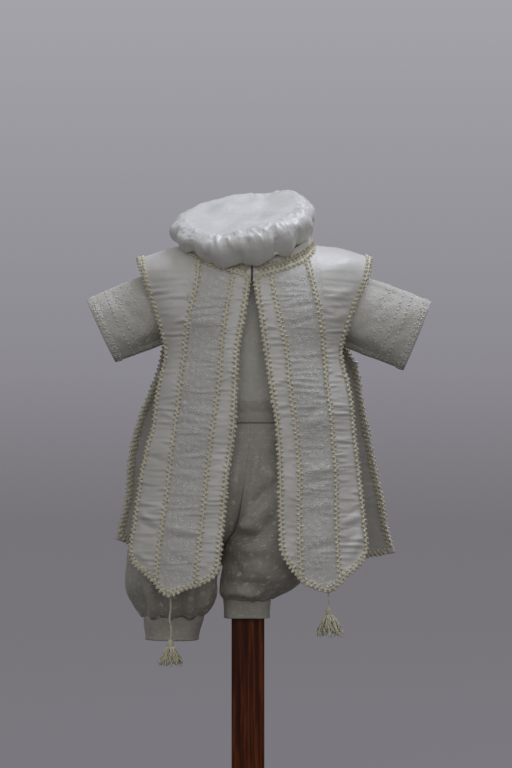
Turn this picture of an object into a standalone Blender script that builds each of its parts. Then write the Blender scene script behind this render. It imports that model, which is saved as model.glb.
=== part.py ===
"""A baby's christening outfit on a dress form: an open braided cape over a short-sleeved shirt,
gathered breeches and a puffed beret, on a limbless torso with a wooden post and base.

The cloth pieces are walls. Each is a sheet of points worked out from a short table of its real
sizes, and a Solidify modifier gives it its thickness. Sizes are in millimetres, and MM turns
them to metres where the mesh is made. The front faces -Y and +Z is up. "left" and "right" are
as seen from the front, so left is -X and right is +X. The origin is the post's axis at the
bottom of the base.
"""

import math

import bmesh
import bpy
import numpy as np
from mathutils import Matrix, Vector

MM = 0.001
SEAM_GAP = 0.3
FACET_ROOM = 1.1  # what a strip that lies on a faceted panel keeps clear of it

CAPE_WALL = 1.6
LIGHT_WALL = 1.6
BAND_WALL = 2.0
BRAID_WALL = 1.4
BRAID_WIDTH = 7.0
BRAID_INSET = 0.5
EDGE_ROW = 8.0  # a panel's first and last rows, under the braid round its edge


def table(columns, *rows):
    """A short table with named columns: {column: array}."""
    return dict(zip(columns.split(), np.array(rows, float).T))


# ---------------------------------------------------------------- sizes: the stand
BASE_RADIUS = 110.0
BASE_HEIGHT = 20.0
BASE_ROUNDING = 5.0
BASE_SIDES = 48
POST_SIDE = 36.0
POST_ROUNDING = 3.0
FORM_BOTTOM = 372.0
FORM = table(
    "height half_width half_depth",
    (372, 56, 42),
    (376, 64, 48),
    (390, 68, 51),
    (420, 68, 51),
    (460, 66, 50),
    (510, 70, 51),
    (550, 76, 52),
    (578, 82, 47),
    (594, 82, 40),
    (606, 72, 35),
    (616, 48, 28),
    (625, 30, 24),
    (636, 26, 22),
    (648, 25, 21.5),
    (652, 21, 18),
)
FORM_SIDES = 28

# ---------------------------------------------------------------- sizes: the shirt
SHIRT_CENTRE = 3.0
SHIRT = table(
    "height half_width half_depth armhole",
    (420, 74, 56.5, 0),
    (450, 73, 56.5, 0),
    (500, 77, 58, 0),
    (530, 82, 59, 0),
    (545, 85, 59, 28),
    (566, 88, 57, 40),
    (585, 90, 52, 35),
    (604, 90, 42, 2),
    (611, 78, 39, 0),
    (618, 64, 35, 0),
    (624, 46, 31, 0),
)
SHIRT_HEIGHTS = (423, 452, 490, 529, 545, 566, 585, 603.5)
SHIRT_NECK = {"front": 604.5, "back": 618.0, "side": 624.0}
ARMHOLE = (528.0, 606.5)  # its lowest and highest point
ARMHOLE_LEAST = 14.0  # its half width at the least, towards its top and bottom
SLEEVE_STEP = 3.6  # how far outside the shirt's surface the sleeve starts
SLEEVE_ROWS = (0.0, 0.2, 0.45, 0.72, 1.0)
SLEEVE_SIDES = 16
SLEEVE_DEPTH = 46.0
SLEEVE_CAP = 3.0  # how far the sleeve's head rises above a straight line
SLEEVES = table(
    "side top_x top_z bottom_x bottom_z",
    (-1, -177, 572, -146, 505),
    (+1, 201, 570, 171, 496),
)

# ---------------------------------------------------------------- sizes: the breeches
WAISTBAND = table(
    "height half_width half_depth",
    (438.5, 79, 61.5),
    (450, 78, 60.5),
    (461.5, 79, 61.5),
)
LEG_LEFT = table(
    "height seam outer middle half_depth opening",
    (437, 3, -76, 0, 60, 90),
    (420, 2, -90, 0, 63, 90),
    (388, -2, -104, 2, 65, 84),
    (358, -6, -113, 3, 64, 68),
    (334, -10, -120, 3, 61, 48),
    (318, -15.5, -125, 2, 58, 34),
    (310, -21.5, -127, 2, 57, 20),
    (304, -24, -129, 1, 55, 0),
    (290, -29, -131, 0, 52, 0),
    (265, -34, -134, 0, 47, 0),
    (245, -35, -128, 0, 42, 0),
    (232, -42, -120, 0, 34, 0),
    (225.3, -50, -114, 0, 25, 0),
)
LEG_RIGHT = table(
    "height seam outer middle half_depth opening",
    (437, 3, 82, 0, 60, 90),
    (420, 2, 93, 0, 63, 90),
    (388, -2, 101, 2, 65, 84),
    (358, -6, 101, 2, 65, 68),
    (334, -10, 98, 0, 63, 48),
    (318, -15.5, 93, -2, 60, 34),
    (310, -21.5, 90, -2, 59, 20),
    (304, -24, 87, -3, 58, 0),
    (290, -26, 80, -4, 54, 0),
    (268, -30, 62, -3, 46, 0),
    (255, -31, 46, -1, 38, 0),
    (247, -29, 32, 0, 30, 0),
    (243.7, -26, 25, 0, 25, 0),
)
LEG_HEIGHTS = {
    "left": (437, 427, 406, 382, 358, 338, 321, 312, 304, 288, 266, 248, 234, 225.6),
    "right": (437, 427, 406, 382, 358, 338, 321, 312, 304, 290, 274, 259, 249, 244.0),
}
LEG_SIDES = 24
LEG_GATHERS = 6
GATHER_DEPTH = 0.014  # of the leg's radius
GATHER_DEPTH_LOW = 0.05  # added to it by the cuff, from GATHER_HEIGHT above it
GATHER_HEIGHT = 40.0
CUFFS = {
    "left": table(
        "height centre half_width half_depth squareness",
        (199.5, -83.5, 28.5, 22, 2.2),
        (212, -83, 30.5, 23.5, 2.2),
        (224.3, -82, 32, 25, 2.2),
    ),
    "right": table(
        "height centre half_width half_depth squareness",
        (224.0, -1, 24.2, 24.2, 3.6),
        (233, -1, 24.8, 24.8, 3.6),
        (242.7, -1, 25.5, 25.5, 3.2),
    ),
}

# ---------------------------------------------------------------- sizes: the cape
# Across each front, the four lines of braid at a height: the front edge, two inner lines and
# the side edge, which is also the armhole's edge.
FRONT_LEFT = table(
    "height front_edge inner_braid outer_braid side_edge",
    (632, 4, -10, -56, -126),
    (600, 3, -15, -53, -115),
    (551, -3, -24, -63, -98),
    (525, -8, -27, -67, -90),
    (477, -11, -31, -72, -96),
    (435, -13, -37, -78, -103),
    (386, -20, -43, -84, -114),
    (337, -25, -48, -90, -122),
    (295, -29, -53, -96, -128),
    (250, -33, -58, -99, -128),
)
FRONT_RIGHT = table(
    "height front_edge inner_braid outer_braid side_edge",
    (632, 5, 17, 58, 138),
    (600, 6, 24, 67, 131.5),
    (551, 12, 34, 78, 111),
    (525, 16, 40, 81, 102),
    (477, 23, 45, 85, 109),
    (435, 30, 51, 90, 115),
    (386, 33, 55, 94, 120),
    (337, 34, 55, 95, 125),
    (295, 36, 56, 97, 129),
    (250, 42, 60, 101, 129),
)
# How the cloth stands off the body: the furthest forward or back at a height.
STAND_OFF = table(
    "height front back",
    (640, 76, 66),
    (540, 76, 68),
    (480, 80, 73),
    (435, 82, 77),
    (386, 82, 81),
    (300, 86, 86),
    (240, 87, 90),
)
FRONT_SPAN_SHARE = 0.893  # side edge over the half ellipse that the front follows
BACK_SPAN_SHARE = 0.85
ROUNDNESS = 2.3
ROLL_START = 540.0  # the shoulder's roll starts at this height
CAPE_CENTRE = 6.0
RIDGE = table("from_centre height", (0, 643), (60, 633), (90, 627.5), (128, 617.5))
# Along each front, from its front edge (0) to its side edge (3): the top and the hem.
FRONT_TOP = table(
    "across height",
    (0, 598),
    (0.5, 600),
    (1, 603),
    (1.35, 606.5),
    (1.7, 611),
    (2, 618),
)
FRONT_HEM = {
    "left": table(
        "across height",
        (0, 277),
        (0.5, 268),
        (1, 262),
        (1.35, 257),
        (1.7, 251.5),
        (2, 263),
        (2.33, 273),
        (2.67, 281),
        (3, 294),
    ),
    "right": table(
        "across height",
        (0, 300),
        (0.5, 281),
        (1, 267),
        (1.35, 260),
        (1.7, 256.5),
        (2, 267),
        (2.33, 276),
        (2.67, 285),
        (3, 297),
    ),
}
NECK_ACROSS = 2.15  # where, across a front, its neckline ends
FRONT_COLUMNS = (0, 0.5, 1, 1.35, 1.7, 2, NECK_ACROSS, 2.57, 3)
ROLL_ROWS = 4
HANG_ROWS = 8
BACK_SIDES = table(
    "height left right",
    (632, -126, 136),
    (600, -115, 130),
    (551, -98, 111),
    (525, -93, 108),
    (500, -99, 121),
    (470, -110, 127),
    (441, -122, 132),
    (395, -133, 141),
    (350, -137, 151),
    (311, -147, 158),
    (290, -151, 165),
)
BACK_HEM = table(
    "across height",
    (-1, 306),
    (-0.8, 296),
    (-0.45, 281),
    (0, 273),
    (0.45, 277),
    (0.8, 285),
    (1, 291),
)
BACK_NECK = 0.54  # where, from the middle to the side, the back's neckline ends
BACK_COLUMNS = (-1, -0.85, -0.7, -0.54, -0.36, -0.18, 0, 0.18, 0.36, 0.54, 0.7, 0.85, 1)
BACK_FOLDS = 3
BACK_FOLD_DEPTH = 5.0
NECK_BACK = 629.0
NECK_POINT = {"left": -66.0, "right": 70.0}  # where the neckline meets the shoulder seams
NECK_FOLD = 2.5  # how much further out the braid lies over the neckline's doubled cloth
COLLAR_HEIGHT = table("round height", (0, 11), (0.25, 4), (0.5, 8), (0.75, 6), (1, 11))
COLLAR_SEGMENTS = 26
COLLAR_LEAN = 2.5
COLLAR_STEP = 1.5

# ---------------------------------------------------------------- sizes: the beret
BERET_CENTRE = (-7.0, -15.0, 668.0)
BERET_TILT = 20.5  # degrees, towards the front
BERET_ROLL = 8.0  # degrees, its right side up
CROWN = table("radius height", (3, -4), (25, -3.2), (48, -0.8), (65.5, 0.4))
CROWN_WALL = 1.8
PUFF = table(
    "along radius height",
    (0, 67.2, -0.6),
    (1, 74.5, -8),
    (2, 78, -18),
    (3, 76.5, -30),
    (4, 70.5, -36.5),
    (5, 62.5, -31),
    (6, 48.3, -25.5),
)
# The puff's height round the beret, from its right side by way of the back and the left.
PUFF_SHARE = table(
    "round share",
    (-30, 0.88),
    (0, 0.75),
    (90, 0.72),
    (180, 0.66),
    (215, 0.7),
    (240, 0.93),
    (270, 1.02),
    (300, 1.0),
    (330, 0.88),
    (360, 0.75),
    (450, 0.72),
)
PUFF_SIDES = 28
PUFF_GATHERS = 7
PUFF_GATHER_DEPTH = 0.035  # of its radius
BERET_BAND_STEP = 1.9  # how far below the puff's inner edge the band starts
BERET_BAND = table("height radius", (-25.5, 45.2), (-30.5, 43.2))

# ---------------------------------------------------------------- sizes: tassels and bead
TASSELS = {
    "left": table(
        "height radius",
        (205.6, 1.2),
        (204, 3.2),
        (199, 3.6),
        (197, 2.6),
        (189, 7),
        (176, 10.5),
        (174.5, 8.5),
    ),
    "right": table(
        "height radius",
        (240, 1.2),
        (238.5, 3.4),
        (233, 3.8),
        (231, 2.8),
        (221, 11),
        (208, 15),
        (206, 12.5),
    ),
}
TASSEL_AXIS = {"left": (-83.0, -73.5), "right": (87.0, -72.0)}
TASSEL_SIDES = 12
CORDS = {
    "left": (
        (-82.0, -70.5, 259.0),
        (-83.0, -71.5, 250.0),
        (-82.6, -72.8, 240.0),
        (-84.0, -73.6, 228.0),
        (-82.2, -73.5, 217.0),
        (-83.0, -73.5, 206.2),
    ),
    "right": (
        (87.0, -68.8, 271.5),
        (87.4, -70.0, 262.0),
        (86.6, -71.2, 254.0),
        (87.3, -71.8, 247.0),
        (87.0, -72.0, 240.6),
    ),
}
CORD_DIAMETER = {"left": 2.0, "right": 1.4}
CORD_POINT_SPACING = 4.0
BEAD_HEIGHT = 503.5
BEAD_RADIUS = 2.4


# ---------------------------------------------------------------- curves through the tables
def smooth(known, values, at):
    """A smooth curve through the points, as cubic Hermite pieces with the slopes of their
    neighbours, read at the places asked for. Past the ends it stays at the end value."""
    order = np.argsort(known)
    x, y = np.asarray(known, float)[order], np.asarray(values, float)[order]
    slope = np.gradient(y, x)
    at = np.clip(np.asarray(at, float), x[0], x[-1])
    i = np.clip(np.searchsorted(x, at, side="right") - 1, 0, len(x) - 2)
    h = x[i + 1] - x[i]
    t = (at - x[i]) / h
    rise = (1 + 2 * t) * (1 - t) ** 2 * y[i] + t * t * (3 - 2 * t) * y[i + 1]
    return rise + h * (t * (1 - t) ** 2 * slope[i] + t * t * (t - 1) * slope[i + 1])


def column(of, name, at, by="height"):
    return smooth(of[by], of[name], at)


def power_ellipse(angle, half_x, half_y, squareness=2.0):
    """Points round an ellipse whose corners fill out as squareness rises over 2."""
    c, s = np.cos(angle), np.sin(angle)
    k = (np.abs(c) ** squareness + np.abs(s) ** squareness) ** (-1 / squareness)
    return half_x * k * c, half_y * k * s


# ---------------------------------------------------------------- making objects
def clear_scene():
    for obj in list(bpy.data.objects):
        bpy.data.objects.remove(obj, do_unlink=True)


def material(name, colour, roughness, metallic=0.0):
    made = bpy.data.materials.new(name)
    made.use_nodes = True
    shader = made.node_tree.nodes["Principled BSDF"]
    shader.inputs["Base Color"].default_value = (*colour, 1)
    shader.inputs["Roughness"].default_value = roughness
    shader.inputs["Metallic"].default_value = metallic
    return made


def link(name, mesh, finish):
    obj = bpy.data.objects.new(name, mesh)
    bpy.context.scene.collection.objects.link(obj)
    mesh.materials.append(finish)
    return obj


def wall(name, points, thickness, finish, closed=False):
    """A cloth wall: a grid of points (rows, columns, xyz) in millimetres, closed round its
    columns for a tube, made solid evenly on both sides of its surface."""
    rows, columns = points.shape[:2]
    faces = []
    for r in range(rows - 1):
        for c in range(columns if closed else columns - 1):
            n = (c + 1) % columns
            faces.append((r * columns + c, r * columns + n, (r + 1) * columns + n, (r + 1) * columns + c))
    mesh = bpy.data.meshes.new(name)
    mesh.from_pydata((points.reshape(-1, 3) * MM).tolist(), [], faces)
    mesh.shade_smooth()
    obj = link(name, mesh, finish)
    solid = obj.modifiers.new("thickness", "SOLIDIFY")
    solid.thickness = thickness * MM
    solid.offset = 0
    solid.use_even_offset = True
    return obj


def stacked(name, rings, finish):
    """A closed solid through rings of points, with a flat end on the first and the last."""
    made = bmesh.new()
    loops = [[made.verts.new(Vector(p) * MM) for p in ring] for ring in rings]
    sides = len(loops[0])
    for one, other in zip(loops, loops[1:]):
        for i in range(sides):
            n = (i + 1) % sides
            made.faces.new((one[i], one[n], other[n], other[i]))
    made.faces.new(reversed(loops[0]))
    made.faces.new(loops[-1])
    mesh = bpy.data.meshes.new(name)
    made.to_mesh(mesh)
    made.free()
    mesh.shade_smooth()
    mesh.set_sharp_from_angle(angle=math.radians(50))
    return link(name, mesh, finish)


def oval_rings(heights, half_widths, half_depths, sides, centre=(0, 0)):
    """Oval rings, listed from the bottom to the top."""
    angle = 2 * math.pi * np.arange(sides) / sides
    return [
        np.stack([centre[0] + a * np.cos(angle), centre[1] + b * np.sin(angle), 0 * angle + z], 1)
        for z, a, b in zip(heights, half_widths, half_depths)
    ]


def grid_reader(points):
    """A function that reads a place (row, column) on a faceted panel, with its outward normal,
    between the panel's own points."""
    along = np.gradient(points, axis=0)
    across = np.gradient(points, axis=1)
    normals = np.cross(along, across)
    normals /= np.linalg.norm(normals, axis=2, keepdims=True)
    last_row, last_column = points.shape[0] - 1, points.shape[1] - 1

    def read(row, col):
        row, col = np.clip(row, 0, last_row), np.clip(col, 0, last_column)
        r = np.minimum(np.floor(row).astype(int), last_row - 1)
        c = np.minimum(np.floor(col).astype(int), last_column - 1)
        fr, fc = (row - r)[..., None], (col - c)[..., None]
        out = []
        for of in (points, normals):
            top = of[r, c] * (1 - fc) + of[r, c + 1] * fc
            low = of[r + 1, c] * (1 - fc) + of[r + 1, c + 1] * fc
            out.append(top * (1 - fr) + low * fr)
        return out[0], out[1] / np.linalg.norm(out[1], axis=-1, keepdims=True)

    return read


def spacing(points, row, col, axis):
    """Millimetres from one point to the next along an axis of the panel, near (row, col)."""
    step = np.linalg.norm(np.diff(points, axis=axis), axis=2)
    r = min(int(round(row)), step.shape[0] - 1)
    c = min(int(round(col)), step.shape[1] - 1)
    return step[r, c]


# ---------------------------------------------------------------- the stand
def build_stand(wood, linen):
    turn = np.linspace(0, math.pi / 2, 4)
    heights = [0.0, *(BASE_HEIGHT + BASE_ROUNDING * (np.sin(turn) - 1))]
    radii = [BASE_RADIUS, *(BASE_RADIUS + BASE_ROUNDING * (np.cos(turn) - 1))]
    stacked("stand_base", oval_rings(heights, radii, radii, BASE_SIDES), wood)
    low, high = BASE_HEIGHT + SEAM_GAP, FORM_BOTTOM - SEAM_GAP
    made = bmesh.new()
    bmesh.ops.create_cube(made, size=1.0)
    bmesh.ops.scale(made, vec=Vector((POST_SIDE, POST_SIDE, high - low)) * MM, verts=made.verts)
    bmesh.ops.translate(made, vec=Vector((0, 0, (low + high) / 2)) * MM, verts=made.verts)
    upright = [e for e in made.edges if abs(e.verts[0].co.z - e.verts[1].co.z) > POST_SIDE * MM]
    bmesh.ops.bevel(made, geom=upright, offset=POST_ROUNDING * MM, segments=2, affect="EDGES", profile=0.5)
    mesh = bpy.data.meshes.new("stand_post")
    made.to_mesh(mesh)
    made.free()
    link("stand_post", mesh, wood)
    sizes = (FORM["height"], FORM["half_width"], FORM["half_depth"])
    stacked("dress_form", oval_rings(*sizes, FORM_SIDES), linen)


# ---------------------------------------------------------------- the shirt
def shirt_half(front, sides):
    """Half of the shirt's body, from one side seam or armhole's edge to the other. Above the
    armholes two rows close over the shoulders to the neckline, which dips in the middle."""
    rows = []
    highest = SHIRT_HEIGHTS[-1]
    middle = SHIRT_NECK["front" if front else "back"]
    for z, share in [(z, 0.0) for z in SHIRT_HEIGHTS] + [(highest, 0.5), (highest, 1.0)]:
        edge = 90 - max(float(column(SHIRT, "armhole", z)), 0) * (1 - share)
        t = np.radians(np.linspace(-edge, edge, sides + 1))
        neck = middle + (SHIRT_NECK["side"] - middle) * np.sin(t) ** 2
        z = z + (neck - z) * share
        a, b = column(SHIRT, "half_width", z), column(SHIRT, "half_depth", z)
        y = b * np.cos(t) + SEAM_GAP * 1.3
        rows.append(np.stack([SHIRT_CENTRE + a * np.sin(t), -y if front else y, z + 0 * t], 1))
    points = np.array(rows)
    return points if front else points[:, ::-1]


def armhole_ring(side, angles):
    """Points round the armhole, just outside the shirt: angle 0 is its front, and a quarter
    turn on is its top."""
    low, high = ARMHOLE
    z = (low + high) / 2 + (high - low) / 2 * np.sin(angles)
    a, b = column(SHIRT, "half_width", z), column(SHIRT, "half_depth", z)
    edge = np.radians(np.maximum(column(SHIRT, "armhole", z), 0))
    reach = np.maximum(b * np.sin(edge), ARMHOLE_LEAST * np.abs(np.cos(angles)))
    outward = a * np.sqrt(1 - (reach / b) ** 2) + SLEEVE_STEP
    return np.stack([SHIRT_CENTRE + side * outward, -np.sign(np.cos(angles)) * reach, z], 1)


def sleeve_grid(which, rows, sides):
    """A short sleeve: rings from the armhole to its straight cut cuff, flattened front to back."""
    side = SLEEVES["side"][which]
    angles = 2 * math.pi * np.arange(sides) / sides
    root = armhole_ring(side, angles)
    top = np.array([SLEEVES["top_x"][which], 0, SLEEVES["top_z"][which]])
    bottom = np.array([SLEEVES["bottom_x"][which], 0, SLEEVES["bottom_z"][which]])
    middle, half = (top + bottom) / 2, (top - bottom) / 2
    round_x, round_y = power_ellipse(angles, SLEEVE_DEPTH / 2, 1.0, 2.4)
    cuff = middle + half * round_y[:, None] - np.outer(round_x, (0, 1, 0))
    grid = []
    for s in rows:
        ring = root * (1 - s) + cuff * s
        cap = np.clip(np.sin(angles), 0, 1) * math.sin(math.pi * s) * SLEEVE_CAP
        grid.append(ring + np.outer(cap, (0, 0, 1)))
    points = np.array(grid)
    return points if side > 0 else points[:, ::-1]


def build_shirt(cloth):
    wall("shirt_front", shirt_half(True, 10), LIGHT_WALL, cloth)
    wall("shirt_back", shirt_half(False, 10), LIGHT_WALL, cloth)
    for which, name in enumerate(("sleeve_left", "sleeve_right")):
        wall(name, sleeve_grid(which, SLEEVE_ROWS, SLEEVE_SIDES), LIGHT_WALL, cloth, closed=True)


# ---------------------------------------------------------------- the breeches
def leg_grid(sizes, side, heights, sides):
    """One leg, cut in one piece: above the crotch it runs from the centre front seam round the
    outside to the centre back seam, and below it closes into a tube along the inseam. The
    ellipse's cut end, opening, falls from 90 degrees at the waist to 0 at the crotch."""
    rows = []
    for z in heights:
        seam, outer = column(sizes, "seam", z), column(sizes, "outer", z)
        half_depth = column(sizes, "half_depth", z)
        least = math.asin(SEAM_GAP / half_depth)
        start = max(math.radians(float(column(sizes, "opening", z))), least)
        away = SEAM_GAP * 1.2 + LIGHT_WALL / 2 * math.cos(start)
        seam = seam + side * away
        half = abs(outer - seam) / (1 + math.cos(start))
        centre = seam + side * half * math.cos(start)
        t = np.linspace(start, 2 * math.pi - start, sides + 1)
        along = np.linspace(0, 1, sides + 1)
        low = np.clip((sizes["height"].min() + GATHER_HEIGHT - z) / GATHER_HEIGHT, 0, 1)
        gathers = (GATHER_DEPTH + GATHER_DEPTH_LOW * low) * np.sin(math.pi * along)
        wave = 1 + gathers * np.cos(2 * math.pi * LEG_GATHERS * along)
        x = centre - side * half * wave * np.cos(t)
        y = column(sizes, "middle", z) - half_depth * wave * np.sin(t)
        rows.append(np.stack([x, y, np.full_like(t, z)], 1))
    points = np.array(rows)
    return points if side < 0 else points[:, ::-1]


def ring_wall(name, sizes, sides, thickness, finish, centre=None, squareness=None):
    angle = 2 * math.pi * np.arange(sides) / sides
    rows = []
    for i, z in enumerate(sizes["height"]):
        power = 2.0 if squareness is None else sizes[squareness][i]
        x, y = power_ellipse(angle, sizes["half_width"][i], sizes["half_depth"][i], power)
        middle = SHIRT_CENTRE if centre is None else sizes[centre][i]
        rows.append(np.stack([middle + x, y, np.full_like(x, z)], 1))
    return wall(name, np.array(rows), thickness, finish, closed=True)


def build_breeches(cloth):
    ring_wall("breeches_waistband", WAISTBAND, 28, BAND_WALL, cloth)
    for name, sizes, side in (("left", LEG_LEFT, -1), ("right", LEG_RIGHT, +1)):
        grid = leg_grid(sizes, side, LEG_HEIGHTS[name], LEG_SIDES)
        wall("breeches_leg_" + name, grid, LIGHT_WALL, cloth)
        ring_wall(
            "breeches_cuff_" + name, CUFFS[name], 20, BAND_WALL, cloth, "centre", "squareness"
        )


# ---------------------------------------------------------------- the cape
def ridge(x):
    return float(np.interp(abs(x - CAPE_CENTRE), RIDGE["from_centre"], RIDGE["height"]))


def stand_off(x, z, front, side):
    """How far in front of or behind the shoulders the cape hangs, at x and a height: part of
    a rounded ellipse whose span follows the side edge there."""
    share = FRONT_SPAN_SHARE if front else BACK_SPAN_SHARE
    reach = column(STAND_OFF, "front" if front else "back", z)
    out = np.clip(np.abs(x) / (np.abs(side) / share), 0, 0.999)
    return reach * (1 - out**ROUNDNESS) ** (1 / ROUNDNESS)


def column_shape(top, hem, top_x, reach):
    """Down one column of a panel: the heights, and how much of its stand-off the cloth has
    there, from none on the shoulder's ridge to all of it below the roll. The first and the last
    row are as deep as a braid, with even steps round the roll and down to the hem."""
    rise = ridge(top_x) - ROLL_START
    steepest = math.asin(min(1.0, (top - ROLL_START) / rise))
    first = steepest - EDGE_ROW / math.hypot(rise * math.cos(steepest), reach * math.sin(steepest))
    angle = np.concatenate([[steepest], np.linspace(first, 0, ROLL_ROWS + 1)])
    hang = np.linspace(ROLL_START, hem + EDGE_ROW, HANG_ROWS + 1)[1:]
    heights = np.concatenate([ROLL_START + rise * np.sin(angle), hang, [hem]])
    return heights, np.concatenate([np.cos(angle), np.ones(HANG_ROWS + 1)])


def front_lines(sizes, across, z):
    """x on a front, between its four lines of braid, at a height."""
    lines = [column(sizes, n, z) for n in ("front_edge", "inner_braid", "outer_braid", "side_edge")]
    i = min(int(across), 2)
    return lines[i] + (lines[i + 1] - lines[i]) * (across - i)


def front_grid(name, columns):
    """A front, from its front edge to its side edge, or the other way round on the left."""
    sizes = FRONT_LEFT if name == "left" else FRONT_RIGHT
    grid = []
    for across in columns:
        hem = float(smooth(FRONT_HEM[name]["across"], FRONT_HEM[name]["height"], across))
        if across < NECK_ACROSS:
            top = float(smooth(FRONT_TOP["across"], FRONT_TOP["height"], across))
            top_x = float(front_lines(sizes, across, top))
        else:
            outer = float(front_lines(sizes, 3, RIDGE["height"][-1]))
            along = (across - NECK_ACROSS) / (3 - NECK_ACROSS)
            top_x = NECK_POINT[name] + (outer - NECK_POINT[name]) * along
            top = ridge(top_x)
        z, lean = column_shape(top, hem, top_x, STAND_OFF["front"][0] * 0.9)
        x = front_lines(sizes, across, z)
        x[0] = top_x
        y = -stand_off(x, z, True, column(sizes, "side_edge", z)) * lean - SEAM_GAP
        grid.append(np.stack([x, y, z], 1))
    points = np.array(grid).transpose(1, 0, 2)
    return points if name == "right" else points[:, ::-1]


def back_grid(columns):
    """The back, from its right edge to its left edge: the neckline in the middle, the shoulder
    seams at its sides, and soft folds that deepen towards the hem."""
    grid = []
    for across in columns:
        hem = float(smooth(BACK_HEM["across"], BACK_HEM["height"], across))
        name = "left" if across < 0 else "right"
        neck_x, outer = NECK_POINT[name], float(column(BACK_SIDES, name, RIDGE["height"][-1]))
        inside = min(abs(across) / BACK_NECK, 1.0)
        beyond = max(abs(across) - BACK_NECK, 0.0) / (1 - BACK_NECK)
        top_x = neck_x * inside + (outer - neck_x) * beyond
        top = NECK_BACK + (ridge(neck_x) - NECK_BACK) * inside**2 if inside < 1 else ridge(top_x)
        z, lean = column_shape(top, hem, top_x, STAND_OFF["back"][0] * 0.9)
        edge = column(BACK_SIDES, name, z)
        x = abs(across) * edge
        x[0] = top_x
        y = stand_off(x, z, False, edge) * lean + SEAM_GAP
        depth = BACK_FOLD_DEPTH * np.clip((ROLL_START - z) / 250, 0, 1)
        y = y + depth * np.cos(BACK_FOLDS * math.pi * across) * (1 - across**2)
        grid.append(np.stack([x, y, z], 1))
    return np.array(grid).transpose(1, 0, 2)[:, ::-1]


def strip_on(points, path, inner, lift):
    """A flat strip on a panel: two lines of places, (row, column), lifted off its surface,
    and a little more over the doubled cloth of the neckline where lift is given for each."""
    read = grid_reader(points)
    lines = []
    for line in (path, inner):
        places = np.array(line, float)
        at, normal = read(places[:, 0], places[:, 1])
        lines.append(at + normal * np.reshape(lift, (-1, 1)))
    return np.array(lines).transpose(1, 0, 2)


def braid_down(points, col, below):
    """The strip of a braid that runs down a panel's inner column, from so far below its top
    to just above the hem's braid."""
    rows = points.shape[0] - 1
    first = below / spacing(points, 0, col, 0)
    last = rows - BRAID_WIDTH * 1.15 / spacing(points, rows - 1, col, 0)
    places = [first, *range(math.floor(first) + 1, math.ceil(last)), last]
    left = [(r, col - BRAID_WIDTH / 2 / spacing(points, r, col - 1, 1)) for r in places]
    right = [(r, col + BRAID_WIDTH / 2 / spacing(points, r, col, 1)) for r in places]
    return left, right


def braid_round(points, neck_column=None):
    """The strip of a braid round a panel's edge: along the neckline from a column where one is
    given, then down the first column, along the hem and up the last column."""
    rows, cols = points.shape[0] - 1, points.shape[1] - 1
    lines = ([], [])

    def add(r, c, down, along, end=0.0):
        """One step along the braid at (r, c). down and along say which edges it lies in from,
        and end how far its straight end stops short of the top."""
        tall = spacing(points, min(r, rows - 1), c, 0)
        wide = spacing(points, r, min(c, cols - 1), 1)
        for line, inset in zip(lines, (BRAID_INSET, BRAID_INSET + BRAID_WIDTH)):
            line.append((r + (down * inset + end) / tall, c + along * inset / wide))

    if neck_column is None:
        add(0, 0, 0, 1, BRAID_INSET)
    else:
        for c in range(neck_column, 0, -1):
            add(0, c, 1, 0)
        add(0, 0, 1, 1)
    for r in range(1, rows):
        add(r, 0, 0, 1)
    add(rows, 0, -1, 1)
    for c in range(1, cols):
        add(rows, c, -1, 0)
    add(rows, cols, -1, -1)
    for r in range(rows - 1, 0, -1):
        add(r, cols, 0, -1)
    add(0, cols, 0, -1, BRAID_INSET)
    return lines


def neck_strip(back, lift):
    """The braid along the back's neckline, between the places where the fronts' braids end."""
    inside = [c for c in range(back.shape[1]) if abs(BACK_COLUMNS[c]) < BACK_NECK + 0.01]
    deep = (BRAID_INSET + BRAID_WIDTH) / spacing(back, 0, inside[len(inside) // 2], 0)
    near = BRAID_INSET / spacing(back, 0, inside[len(inside) // 2], 0)
    return strip_on(back, [(near, c) for c in inside], [(deep, c) for c in inside], lift)


def neckline(fronts, back):
    """The neckline's points, from the left front round the back to the right front, each
    stepped past the panel's cut edge along the panel, ready for the collar."""
    count = FRONT_COLUMNS.index(NECK_ACROSS) + 1
    behind = [c for c in range(back.shape[1]) if abs(BACK_COLUMNS[c]) < BACK_NECK]
    parts = (
        (fronts["left"][:, ::-1], range(count)),
        (back[:, ::-1], behind),
        (fronts["right"], range(count - 1, -1, -1)),
    )
    points = np.concatenate([grid[0, columns] for grid, columns in parts])
    normals = np.concatenate(
        [
            np.cross(np.gradient(grid, axis=1), np.gradient(grid, axis=0))[0, columns]
            for grid, columns in parts
        ]
    )
    past = np.cross(np.gradient(points, axis=0), normals)
    past /= np.linalg.norm(past, axis=1, keepdims=True)
    inward = np.sum(past * (np.array([2.0, -10.0, 700.0]) - points), axis=1, keepdims=True)
    return points + past * np.sign(inward) * COLLAR_STEP


def resampled(line, count):
    along = np.concatenate([[0], np.cumsum(np.linalg.norm(np.diff(line, axis=0), axis=1))])
    at = np.linspace(0, along[-1], count)
    return np.stack([np.interp(at, along, line[:, k]) for k in range(3)], 1)


def collar_grid(line):
    """The stand collar: up from the neckline, leaning in towards the neck."""
    base = resampled(line, COLLAR_SEGMENTS + 1)
    round_it = np.linspace(0, 1, len(base))
    rise = smooth(COLLAR_HEIGHT["round"], COLLAR_HEIGHT["height"], round_it)
    inward = (np.array([base[:, 0].mean(), -6.0, 0.0]) - base) * (1, 1, 0)
    inward /= np.linalg.norm(inward, axis=1, keepdims=True)
    return np.array([base, base + inward * COLLAR_LEAN + np.outer(rise, (0, 0, 1))])


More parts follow.
